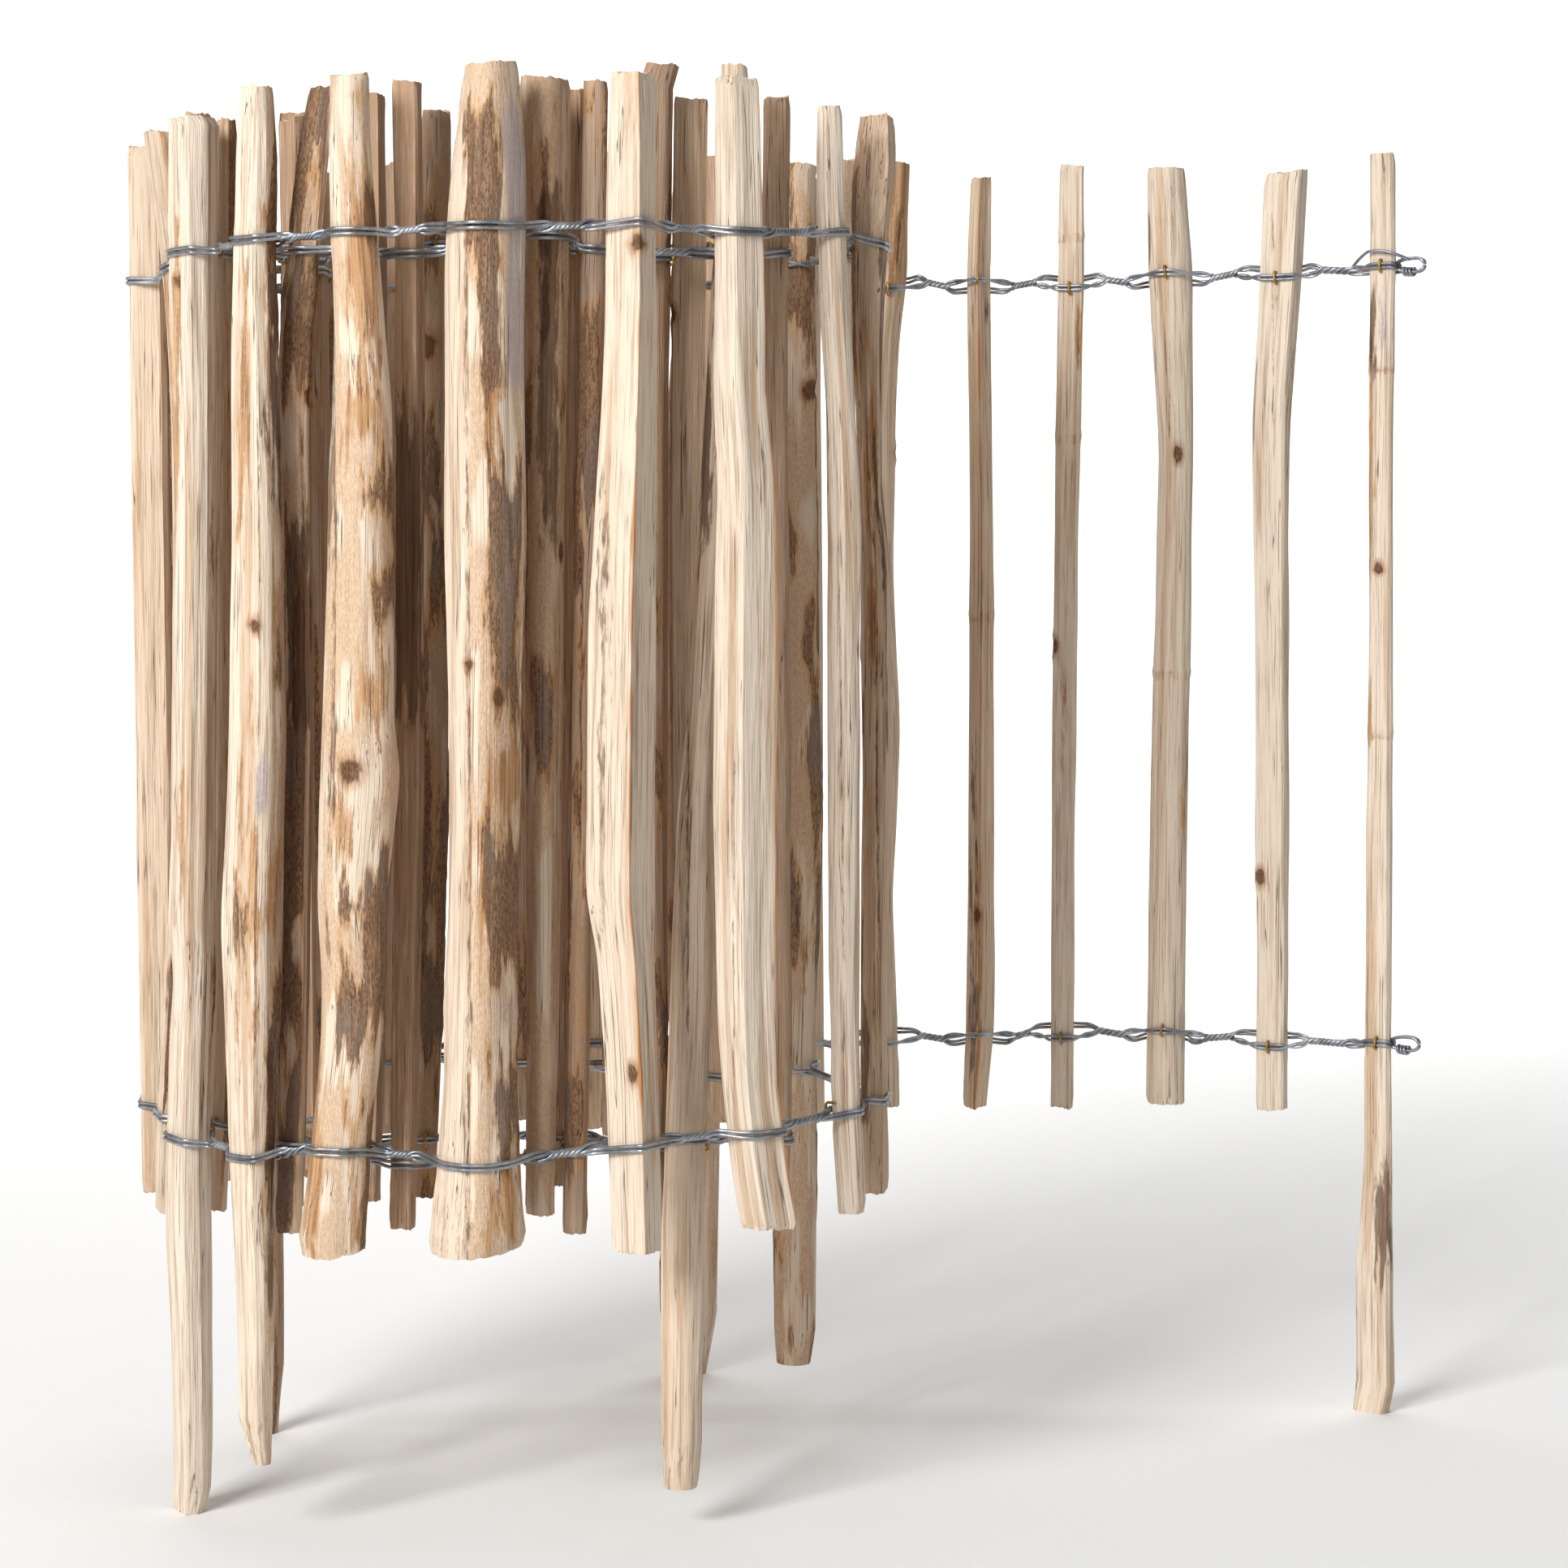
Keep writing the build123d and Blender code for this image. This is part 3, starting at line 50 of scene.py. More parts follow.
PICKETS = [
    ("end_stake", "Q", -124.1, (712.4, 233.3), (-0.01, 0.01), [
        (780.4, 357.3, 121.0, 15.2, 10.2), (775.5, 357.7, 121.0, 16.0, 10.7), (711.4, 359.0, 121.0, 17.0, 11.3),
        (607.3, 359.2, 121.0, 15.1, 10.1), (427.3, 360.4, 121.0, 15.2, 10.1), (229.7, 361.8, 121.0, 16.3, 10.9),
        (154.6, 363.1, 121.0, 17.8, 11.9), (81.2, 361.6, 121.0, 23.8, 15.9), (18.8, 362.9, 121.0, 23.9, 15.9),
        (0.0, 360.2, 121.0, 22.5, 14.9),]),
    ("pale_01", "S", -118.7, (707.4, 224.9), (0.08, -0.01), [
        (772.6, 304.1, 161.0, 23.8, 14.2), (766.6, 303.2, 161.0, 25.0, 15.0), (707.4, 300.5, 161.0, 24.6, 14.8),
        (619.7, 295.5, 161.0, 21.5, 12.9), (424.8, 298.0, 161.0, 19.8, 11.9), (270.5, 299.5, 161.0, 19.0, 11.4),
        (190.1, 300.3, 161.0, 19.0, 11.4), (184.4, 300.6, 161.0, 18.1, 10.8),]),
    ("pale_02", "B", -110.1, (712.8, 231.5), (0.0, 0.02), [
        (778.3, 230.9, 191.0, 21.9, 14.6), (773.7, 230.9, 191.0, 23.1, 15.4), (712.8, 233.7, 191.0, 28.1, 18.8),
        (664.8, 235.8, 191.0, 24.2, 16.1), (598.3, 238.6, 191.0, 21.2, 14.1), (423.0, 236.5, 191.0, 22.8, 15.2),
        (266.6, 235.1, 191.0, 24.0, 16.0), (187.9, 234.9, 191.0, 24.5, 16.4), (183.1, 235.3, 191.0, 23.3, 15.6),]),
    ("pale_03", "H", -101.3, (703.6, 223.7), (-0.06, 0.0), [
        (780.4, 175.0, 209.0, 14.0, 16.6), (776.3, 174.7, 209.0, 14.7, 17.5), (703.6, 174.4, 209.0, 16.3, 18.0),
        (557.2, 172.1, 209.0, 14.3, 18.0), (369.5, 171.6, 209.0, 14.4, 18.0), (185.0, 171.6, 209.0, 14.5, 17.3),
        (178.1, 171.3, 209.0, 13.8, 16.4),]),
    ("pale_04", "W", -95.1, (710.1, 225.4), (0.03, 0.06), [
        (774.3, 116.8, 215.0, 12.3, 13.3), (769.7, 116.3, 215.0, 12.9, 14.0), (709.6, 115.0, 215.0, 15.1, 18.0),
        (557.1, 118.2, 215.0, 15.1, 18.0), (369.0, 118.2, 215.0, 16.8, 18.0), (226.5, 118.0, 215.0, 18.4, 18.0),
        (181.4, 115.0, 215.0, 15.3, 16.5), (177.1, 115.0, 215.0, 14.5, 15.7),]),
    ("pale_05", "B", -93.5, (703.7, 218.5), (-0.08, -0.04), [
        (783.9, 62.0, 219.0, 18.1, 20.9), (753.6, 60.5, 219.0, 19.0, 22.0), (712.4, 57.7, 219.0, 23.9, 22.0),
        (671.2, 54.7, 219.0, 19.5, 22.0), (629.8, 53.4, 219.0, 18.3, 22.0), (557.1, 52.0, 219.0, 18.3, 22.0),
        (525.9, 51.9, 219.0, 17.5, 22.0), (421.3, 54.7, 219.0, 21.8, 22.0), (368.7, 53.8, 219.0, 19.1, 22.0),
        (316.0, 53.1, 219.0, 16.0, 22.0), (220.6, 55.6, 219.0, 17.9, 22.0), (177.0, 57.0, 219.0, 17.4, 21.7),]),
    ("pale_06", "H", 89.1, (701.9, 217.3), (-0.08, 0.06), [
        (775.1, -0.5, 222.0, 28.1, 18.7), (767.1, -0.6, 222.0, 29.6, 19.7), (619.2, 0.1, 222.0, 28.7, 19.1),
        (471.2, 0.8, 222.0, 30.0, 20.0), (323.3, 1.6, 222.0, 28.6, 19.1), (175.3, 2.4, 222.0, 29.8, 19.9),
        (167.3, 2.4, 222.0, 28.3, 18.9),]),
    ("stake_01", "R", 92.2, (701.1, 217.2), (0.04, -0.09), [
        (770.0, -60.7, 221.1, 31.3, 25.5), (762.0, -60.7, 221.1, 33.0, 26.8), (680.0, -61.7, 221.1, 31.6, 25.6),
        (636.3, -62.3, 221.1, 35.7, 25.0), (510.7, -64.0, 221.0, 36.7, 25.3), (385.0, -65.7, 221.0, 38.2, 26.3),
        (259.3, -67.6, 220.9, 36.1, 27.2), (240.0, -67.9, 220.9, 33.2, 27.0), (133.7, -69.4, 220.9, 32.2, 26.2),
        (42.0, -70.7, 220.9, 31.7, 25.7), (0.0, -71.3, 220.9, 19.8, 16.1),]),
    ("pale_07", "S", 93.1, (702.2, 219.9), (0.1, 0.09), [
        (789.5, -132.8, 217.1, 31.1, 18.2), (781.5, -131.9, 217.1, 32.7, 19.2), (629.4, -129.9, 217.1, 33.3, 19.6),
        (477.3, -128.7, 217.0, 35.1, 20.6), (325.1, -127.8, 217.0, 32.9, 19.4), (173.0, -126.8, 216.9, 34.3, 20.2),
        (165.0, -126.8, 216.9, 32.6, 19.2),]),
    ("pale_08", "B", 100.2, (702.4, 218.1), (0.03, 0.02), [
        (782.1, -195.5, 214.5, 29.5, 20.3), (774.1, -194.5, 214.6, 31.1, 21.4), (625.6, -194.0, 214.5, 32.6, 22.4),
        (477.1, -194.3, 214.2, 31.8, 21.8), (328.7, -195.1, 213.8, 31.4, 21.6), (180.2, -195.7, 213.4, 32.3, 22.2),
        (172.2, -195.8, 213.4, 30.7, 21.1),]),
    ("pale_09", "Q", 116.6, (701.0, 219.3), (-0.07, -0.1), [
        (778.0, -259.7, 193.5, 28.7, 19.1), (770.0, -259.1, 193.7, 30.2, 20.1), (622.1, -257.7, 194.1, 30.1, 20.1),
        (474.3, -256.8, 194.2, 31.1, 20.8), (326.4, -256.1, 194.1, 30.7, 20.5), (178.6, -255.4, 194.2, 29.4, 19.6),
        (170.6, -255.4, 194.1, 27.9, 18.6),]),
    ("pale_10", "W", 133.7, (698.0, 218.7), (0.01, -0.09), [
        (789.6, -308.4, 155.9, 26.6, 20.9), (781.6, -307.8, 156.4, 28.0, 22.0), (629.8, -307.9, 157.1, 26.7, 21.0),
        (478.1, -308.5, 157.3, 28.5, 22.4), (326.3, -309.4, 157.3, 28.7, 22.6), (174.6, -310.2, 157.3, 28.2, 22.2),
        (166.6, -310.2, 157.3, 26.8, 21.1),]),
    ("pale_11", "B", 150.8, (700.7, 219.1), (-0.06, -0.05), [
        (787.3, -350.0, 105.5, 28.4, 18.9), (779.3, -350.1, 105.3, 29.9, 19.9), (629.2, -349.6, 105.5, 31.0, 20.7),
        (479.1, -349.2, 105.8, 31.3, 20.9), (329.0, -348.6, 106.2, 29.9, 19.9), (178.9, -348.1, 106.6, 30.5, 20.3),
        (170.9, -348.1, 106.6, 29.0, 19.3),]),
    ("pale_12", "H", 167.0, (699.4, 217.9), (-0.09, -0.01), [
        (769.3, -371.3, 43.1, 29.7, 18.6), (761.3, -371.5, 42.5, 31.3, 19.6), (617.9, -371.4, 43.6, 31.6, 19.8),
        (474.4, -371.2, 45.2, 32.5, 20.3), (330.9, -370.8, 47.3, 30.5, 19.0), (187.4, -370.5, 49.2, 31.9, 19.9),
        (179.4, -370.5, 49.3, 30.3, 18.9),]),
    ("pale_13", "S", -174.6, (696.4, 219.0), (-0.01, 0.07), [
        (771.7, -376.4, -12.6, 27.7, 18.5), (763.7, -376.5, -11.8, 29.2, 19.5), (616.4, -376.3, -10.7, 29.7, 19.8),
        (469.1, -376.1, -10.4, 31.1, 20.7), (321.9, -375.8, -10.6, 28.7, 19.2), (174.6, -375.6, -10.6, 29.8, 19.9),
        (166.6, -375.5, -10.6, 28.3, 18.9),]),
    ("pale_14", "H", -159.2, (697.0, 217.8), (0.0, 0.03), [
        (774.6, -357.7, -71.0, 22.9, 16.7), (769.2, -356.6, -71.0, 24.1, 17.6), (730.9, -352.1, -71.0, 23.0, 16.8),
        (708.3, -350.1, -71.0, 21.1, 15.5), (667.6, -347.1, -71.0, 19.7, 14.5), (613.1, -346.2, -71.0, 17.1, 12.5),
        (485.0, -347.0, -71.0, 18.7, 13.7), (355.7, -350.4, -71.0, 18.0, 13.2), (309.3, -352.6, -71.0, 20.5, 15.1),
        (253.3, -356.1, -71.0, 20.6, 15.1), (220.6, -358.3, -71.0, 20.6, 15.1), (187.8, -360.2, -71.0, 19.5, 14.3),
        (164.3, -361.0, -71.0, 18.5, 13.6),]),
    ("stake_02", "H", -145.1, (707.0, 214.3), (-0.0, 0.03), [
        (778.2, -332.6, -111.0, 27.0, 21.6), (773.8, -330.9, -111.0, 28.4, 22.7),
        (732.2, -331.4, -111.0, 28.6, 22.9), (665.7, -331.6, -111.0, 28.0, 22.4),
        (630.0, -331.6, -111.0, 27.1, 21.7), (603.2, -331.7, -111.0, 26.2, 20.9),
        (576.4, -331.7, -111.0, 25.1, 20.1), (486.6, -333.5, -111.0, 25.5, 20.4),
        (396.1, -335.4, -111.0, 25.6, 20.5), (332.5, -337.6, -111.0, 27.2, 21.7),
        (305.1, -336.9, -111.0, 23.4, 18.7), (268.5, -338.9, -111.0, 25.0, 20.0),
        (213.4, -341.0, -111.0, 25.2, 20.2), (167.4, -341.3, -111.0, 26.8, 21.4),
        (102.6, -340.6, -111.0, 24.5, 19.6), (56.2, -340.7, -111.0, 24.5, 19.6), (14.8, -341.4, -111.0, 22.7, 18.2),
        (0.0, -343.2, -111.0, 20.0, 16.0),]),
    ("stake_03", "Q", -131.1, (706.2, 211.0), (-0.01, -0.04), [
        (788.7, -289.9, -167.0, 17.7, 14.2), (785.3, -289.8, -167.0, 18.6, 14.9),
        (757.8, -289.9, -167.0, 22.2, 17.7), (706.2, -291.5, -167.0, 24.4, 19.5),
        (663.0, -291.8, -167.0, 26.5, 21.2), (619.6, -291.7, -167.0, 27.6, 22.1),
        (532.5, -291.4, -167.0, 29.9, 24.0), (444.8, -292.1, -167.0, 32.3, 25.8),
        (400.8, -293.9, -167.0, 32.4, 25.9), (338.8, -296.3, -167.0, 34.9, 27.9),
        (312.2, -296.3, -167.0, 33.8, 27.1), (267.7, -297.1, -167.0, 30.7, 24.5),
        (223.0, -297.8, -167.0, 27.4, 21.9), (178.2, -298.3, -167.0, 23.5, 18.8),
        (115.3, -297.5, -167.0, 21.3, 17.1), (67.9, -297.8, -167.0, 20.0, 16.0), (41.6, -295.5, -167.0, 10.5, 8.4),]),
    ("pale_15", "R", -110.3, (711.2, 224.1), (0.1, 0.1), [
        (791.9, -238.0, -199.0, 21.1, 19.7), (788.6, -237.6, -199.0, 22.2, 20.7),
        (754.8, -237.9, -199.0, 24.0, 22.4), (725.2, -236.5, -199.0, 25.6, 23.9),
        (704.0, -235.4, -199.0, 27.1, 25.3), (678.5, -234.3, -199.0, 28.3, 26.4),
        (644.4, -233.6, -199.0, 31.0, 28.9), (618.8, -232.6, -199.0, 34.4, 32.1),
        (576.0, -233.7, -199.0, 35.8, 33.4), (533.1, -234.5, -199.0, 36.7, 34.3),
        (490.0, -235.1, -199.0, 38.1, 35.5), (446.8, -236.1, -199.0, 40.3, 37.6),
        (427.3, -234.6, -199.0, 45.3, 42.3), (403.4, -236.6, -199.0, 43.6, 40.7),
        (351.2, -240.1, -199.0, 38.9, 36.4), (316.3, -239.2, -199.0, 36.7, 34.3),
        (281.3, -240.6, -199.0, 34.6, 32.3), (237.3, -245.7, -199.0, 33.7, 31.5),
        (206.5, -248.8, -199.0, 34.2, 31.9), (175.6, -252.2, -199.0, 37.7, 35.1),
        (166.8, -251.6, -199.0, 35.8, 33.3),]),
    ("pale_16", "B", -91.6, (709.7, 215.4), (0.07, 0.04), [
        (796.1, -162.8, -214.0, 26.6, 21.6), (791.9, -162.3, -214.0, 28.0, 22.7),
        (770.1, -162.9, -214.0, 33.3, 30.0), (745.0, -164.3, -214.0, 38.5, 30.0),
        (702.9, -166.3, -214.0, 42.0, 30.0), (626.9, -167.8, -214.0, 41.7, 30.0),
        (550.4, -166.8, -214.0, 43.1, 30.0), (490.6, -167.8, -214.0, 40.2, 30.0),
        (404.7, -168.7, -214.0, 36.9, 30.0), (335.5, -170.6, -214.0, 36.7, 30.0),
        (296.5, -170.8, -214.0, 39.9, 30.0), (257.3, -172.0, -214.0, 38.4, 30.0),
        (204.9, -172.8, -214.0, 45.5, 30.0), (175.1, -174.2, -214.0, 51.3, 41.6),
        (169.0, -174.1, -214.0, 48.7, 39.5),]),
    ("pale_17", "W", -72.9, (716.4, 227.0), (-0.04, -0.05), [
        (792.3, -87.4, -203.0, 23.3, 17.8), (789.0, -87.4, -203.0, 24.5, 18.7), (746.0, -88.2, -203.0, 26.7, 28.0),
        (707.9, -88.4, -203.0, 27.0, 28.0), (661.3, -88.5, -203.0, 27.6, 28.0), (601.6, -90.5, -203.0, 31.1, 28.0),
        (550.3, -92.2, -203.0, 34.1, 28.0), (507.4, -93.4, -203.0, 37.3, 28.0), (421.1, -94.4, -203.0, 36.8, 28.0),
        (360.3, -95.4, -203.0, 37.9, 28.0), (325.5, -92.3, -203.0, 31.1, 28.0), (255.6, -89.0, -203.0, 29.5, 28.0),
        (194.0, -87.5, -203.0, 27.7, 28.0), (166.7, -86.8, -203.0, 26.3, 26.6),]),
    ("pale_18", "Q", -52.7, (710.1, 225.4), (-0.04, -0.09), [
        (792.3, -34.4, -173.0, 19.3, 15.4), (788.1, -34.2, -173.0, 20.3, 16.2), (748.7, -33.5, -173.0, 21.4, 17.1),
        (628.1, -32.1, -173.0, 24.1, 19.3), (576.1, -29.0, -173.0, 26.6, 21.2), (489.0, -29.4, -173.0, 29.0, 23.2),
        (445.2, -29.7, -173.0, 28.9, 23.1), (401.3, -30.0, -173.0, 28.9, 23.1), (321.8, -29.6, -173.0, 27.1, 21.7),
        (295.2, -29.1, -173.0, 27.0, 21.6), (250.8, -27.2, -173.0, 25.1, 20.1), (206.2, -22.3, -173.0, 26.0, 20.8),
        (177.2, -17.5, -173.0, 26.0, 20.8), (173.6, -17.5, -173.0, 24.7, 19.8),]),
    ("pale_19", "B", -37.4, (717.4, 231.0), (0.05, -0.02), [
        (783.8, 16.9, -120.0, 12.9, 8.6), (779.9, 17.3, -120.0, 13.6, 9.1), (753.5, 17.6, -120.0, 15.5, 10.4),
        (665.2, 21.1, -120.0, 18.5, 12.3), (620.9, 23.9, -120.0, 17.1, 11.4), (594.2, 24.8, -120.0, 18.4, 12.3),
        (549.6, 26.4, -120.0, 20.5, 13.7), (486.9, 26.5, -120.0, 19.8, 13.2), (442.0, 26.4, -120.0, 19.7, 13.1),
        (315.3, 26.0, -120.0, 18.8, 12.5), (242.4, 27.0, -120.0, 17.2, 11.5), (178.3, 30.7, -120.0, 16.4, 10.9),
        (171.9, 30.3, -120.0, 15.6, 10.4),]),
    ("pale_20", "H", -7.6, (709.0, 227.3), (0.07, -0.02), [
        (782.3, 41.9, -75.0, 23.6, 17.3), (777.8, 42.0, -75.0, 24.8, 18.2), (757.6, 41.2, -75.0, 30.2, 22.1),
        (712.6, 38.1, -75.0, 26.8, 19.7), (667.4, 37.4, -75.0, 21.7, 15.9), (576.6, 38.8, -75.0, 17.0, 12.5),
        (530.9, 42.1, -75.0, 21.5, 15.8), (393.1, 42.8, -75.0, 21.6, 15.8), (300.5, 41.4, -75.0, 18.7, 13.7),
        (181.5, 42.1, -75.0, 20.0, 14.7), (175.4, 42.2, -75.0, 19.0, 14.0),]),
    ("pale_21", "S", 15.0, (708.9, 227.2), (0.09, 0.07), [
        (764.7, 27.0, -7.0, 15.7, 9.4), (670.7, 25.7, -7.0, 16.5, 9.9), (243.8, 27.6, -7.0, 15.6, 9.3),
        (176.2, 29.2, -7.0, 14.8, 8.8),]),
    ("stake_04", "R", 30.0, (710.2, 224.6), (-0.1, -0.06), [
        (769.5, 2.0, 71.0, 20.3, 17.7), (763.7, 0.5, 71.0, 21.4, 18.6), (625.9, -0.2, 71.0, 22.1, 19.1),
        (479.4, 2.1, 71.0, 24.9, 21.6), (381.0, 3.3, 71.0, 25.5, 22.1), (291.9, 1.4, 71.0, 23.4, 20.3),
        (232.1, -0.1, 71.0, 24.6, 21.3), (132.0, -2.6, 71.0, 31.2, 27.0), (64.6, -2.5, 71.0, 29.1, 25.2),
        (42.4, -3.2, 71.0, 23.9, 20.7),]),
    ("pale_22", "B", 52.2, (701.0, 211.1), (0.08, -0.01), [
        (780.1, -43.6, 124.4, 28.2, 18.8), (772.1, -43.1, 124.0, 29.7, 19.8), (626.9, -41.9, 123.3, 29.6, 19.7),
        (481.8, -40.9, 122.9, 31.2, 20.8), (336.6, -40.2, 122.6, 31.4, 20.9), (191.4, -39.4, 122.3, 29.0, 19.3),
        (183.4, -39.4, 122.3, 27.5, 18.3),]),
    ("pale_23", "Q", 74.4, (707.4, 210.6), (0.1, -0.02), [
        (771.9, -106.4, 158.0, 27.8, 18.5), (763.9, -106.7, 158.0, 29.3, 19.5), (617.2, -107.9, 158.1, 28.5, 19.0),
        (470.5, -109.0, 158.0, 29.8, 19.8), (323.8, -110.0, 158.0, 29.6, 19.7), (177.1, -111.0, 158.0, 30.2, 20.1),
        (169.1, -111.0, 158.0, 28.7, 19.1),]),
    ("pale_24", "W", 94.7, (704.8, 215.1), (-0.09, 0.03), [
        (789.0, -177.2, 160.9, 25.5, 19.9), (781.0, -177.5, 160.9, 26.8, 21.0), (632.5, -177.6, 160.9, 29.1, 22.9),
        (484.1, -177.3, 161.0, 28.8, 22.6), (335.6, -176.8, 161.0, 29.0, 22.8), (187.2, -176.4, 161.1, 28.8, 22.7),
        (179.2, -176.4, 161.1, 27.4, 21.6),]),
    ("pale_25", "S", 114.6, (700.0, 218.0), (0.06, -0.05), [
        (776.6, -239.3, 146.7, 30.9, 16.3), (768.6, -238.5, 147.1, 32.5, 17.2), (621.7, -239.9, 147.4, 33.0, 17.5),
        (474.7, -242.0, 147.3, 32.9, 17.4), (327.7, -244.6, 147.0, 33.5, 17.7), (180.8, -247.1, 146.8, 32.5, 17.2),
        (172.8, -247.3, 146.8, 30.9, 16.3),]),
    ("pale_26", "H", 134.3, (705.7, 215.1), (-0.08, -0.03), [
        (768.0, -292.2, 107.6, 27.5, 19.7), (760.0, -291.5, 108.3, 29.0, 20.7), (613.8, -292.5, 108.3, 28.3, 20.2),
        (467.7, -294.2, 107.6, 27.0, 19.3), (321.5, -296.3, 106.6, 27.3, 19.5), (175.3, -298.3, 105.7, 27.6, 19.7),
        (167.3, -298.5, 105.5, 26.2, 18.7),]),
    ("stake_05", "W", 153.4, (706.8, 210.6), (0.09, 0.05), [
        (772.0, -324.4, 69.0, 23.9, 19.9), (764.0, -324.7, 68.4, 25.2, 21.0), (638.0, -325.1, 67.3, 23.9, 19.9),
        (512.0, -325.3, 66.5, 24.0, 20.0), (386.0, -325.4, 66.0, 23.0, 19.2), (260.0, -325.4, 65.8, 23.0, 19.2),
        (134.0, -325.3, 65.5, 23.6, 19.7), (42.0, -325.3, 65.3, 23.4, 19.5), (0.0, -325.4, 65.1, 14.9, 12.4),]),
    ("pale_27", "B", 170.7, (700.4, 211.1), (-0.08, -0.05), [
        (786.2, -342.2, 8.2, 25.6, 18.3), (778.2, -342.2, 8.2, 27.0, 19.3), (627.6, -342.6, 9.4, 28.1, 20.1),
        (476.9, -342.9, 10.7, 26.7, 19.1), (326.2, -343.3, 12.0, 28.1, 20.1), (175.6, -343.6, 13.4, 29.3, 21.0),
        (167.6, -343.7, 13.4, 27.8, 19.9),]),
    ("pale_28", "H", -165.1, (703.5, 215.9), (-0.08, -0.09), [
        (787.0, -342.6, -36.2, 25.4, 15.6), (779.0, -342.8, -35.5, 26.7, 16.4), (631.1, -342.6, -35.6, 26.1, 16.1),
        (483.2, -342.2, -36.3, 26.7, 16.4), (335.2, -341.7, -37.5, 25.6, 15.7), (187.3, -341.3, -38.5, 25.3, 15.6),
        (179.3, -341.2, -38.6, 24.0, 14.8),]),
    ("pale_29", "Q", -145.5, (707.9, 217.9), (0.06, -0.06), [
        (779.7, -321.3, -79.0, 19.0, 10.2), (775.2, -321.9, -79.0, 20.0, 10.7), (622.0, -322.8, -79.0, 17.6, 9.4),
        (393.5, -325.4, -79.0, 17.8, 9.5), (207.9, -330.3, -79.0, 17.9, 9.5), (165.8, -332.2, -79.0, 17.0, 9.0),]),
    ("pale_30", "B", -129.8, (702.0, 214.2), (0.01, -0.01), [
        (790.7, -259.3, -149.0, 14.2, 7.6), (786.4, -260.0, -149.0, 15.0, 8.0), (750.9, -265.1, -149.0, 19.1, 10.2),
        (707.4, -270.0, -149.0, 20.1, 10.7), (663.8, -274.8, -149.0, 20.2, 10.8),
        (628.9, -277.2, -149.0, 20.7, 11.0), (532.2, -276.4, -149.0, 18.2, 9.7), (443.7, -275.7, -149.0, 15.3, 8.1),
        (265.0, -280.2, -149.0, 16.4, 8.7), (170.2, -283.4, -149.0, 16.5, 8.8), (166.6, -283.2, -149.0, 15.7, 8.4),]),
    ("pale_31", "S", -103.0, (701.4, 210.2), (-0.06, 0.05), [
        (791.5, -210.1, -169.0, 13.7, 12.2), (787.7, -210.1, -169.0, 14.4, 12.8),
        (619.6, -209.4, -169.0, 12.8, 14.0), (400.9, -211.9, -169.0, 12.9, 14.0),
        (178.6, -217.0, -169.0, 12.4, 11.0), (173.3, -217.2, -169.0, 11.8, 10.4),]),
    ("pale_32", "B", -86.4, (707.7, 211.8), (-0.07, 0.03), [
        (792.7, -136.2, -177.0, 25.1, 23.2), (788.5, -136.0, -177.0, 26.4, 24.4),
        (705.5, -136.1, -177.0, 24.9, 20.0), (619.4, -136.7, -177.0, 22.5, 20.0),
        (576.1, -137.2, -177.0, 21.6, 20.0), (401.6, -138.6, -177.0, 19.3, 20.0),
        (269.2, -139.9, -177.0, 16.3, 20.0), (186.9, -141.6, -177.0, 16.4, 15.1),
        (182.4, -141.4, -177.0, 15.6, 14.3),]),
    ("pale_33", "R", -72.5, (704.2, 216.6), (-0.08, -0.02), [
        (792.2, -110.1, -163.0, 12.6, 15.4), (787.5, -110.0, -163.0, 13.3, 16.2),
        (619.7, -113.2, -163.0, 13.4, 16.0), (444.6, -118.3, -163.0, 12.6, 16.0),
        (267.1, -121.7, -163.0, 12.7, 16.0), (175.2, -124.1, -163.0, 13.2, 16.0),
        (169.4, -124.1, -163.0, 12.5, 15.2),]),
    ("stake_06", "B", -59.3, (700.1, 217.6), (-0.06, -0.05), [
        (802.4, -34.2, -149.0, 13.8, 9.2), (798.5, -34.0, -149.0, 14.5, 9.7), (707.4, -37.2, -149.0, 15.9, 10.6),
        (576.2, -45.3, -149.0, 16.0, 10.6), (443.7, -52.7, -149.0, 16.5, 11.0), (399.3, -55.3, -149.0, 20.5, 13.7),
        (309.9, -57.4, -149.0, 23.3, 15.5), (201.9, -61.7, -149.0, 22.5, 15.0), (174.8, -62.6, -149.0, 23.4, 15.6),
        (48.7, -63.8, -149.0, 22.6, 15.1), (23.1, -64.6, -149.0, 18.5, 12.4),]),
    ("pale_34", "Q", 3.4, (706.3, 213.3), (0.09, 0.06), [
        (790.1, -13.4, -103.0, 26.1, 13.9), (786.1, -13.4, -103.0, 27.5, 14.6), (621.3, -14.3, -103.0, 27.6, 14.7),
        (395.5, -12.8, -103.0, 27.0, 14.4), (212.1, -12.1, -103.0, 26.3, 14.1), (175.1, -13.7, -103.0, 25.0, 13.4),]),
    ("pale_35", "B", 112.1, (706.4, 210.0), (-0.04, 0.08), [
        (788.3, -60.7, -115.0, 18.1, 8.5), (784.8, -60.9, -115.0, 19.1, 8.9), (621.0, -63.2, -115.0, 18.8, 8.8),
        (396.5, -63.6, -115.0, 17.2, 8.0), (214.1, -62.9, -115.0, 15.5, 7.2), (177.4, -62.9, -115.0, 14.7, 6.8),]),
    ("pale_36", "W", 104.0, (700.2, 212.5), (-0.06, -0.02), [
        (804.5, -75.3, -135.0, 18.2, 15.2), (791.4, -79.3, -135.0, 19.2, 16.0), (620.5, -81.8, -135.0, 18.9, 16.0),
        (398.1, -83.3, -135.0, 19.1, 16.0), (217.6, -82.9, -135.0, 17.4, 16.0), (172.0, -82.4, -135.0, 16.5, 15.2),]),
    ("pale_37", "S", 90.0, (704.1, 217.2), (0.07, 0.03), [
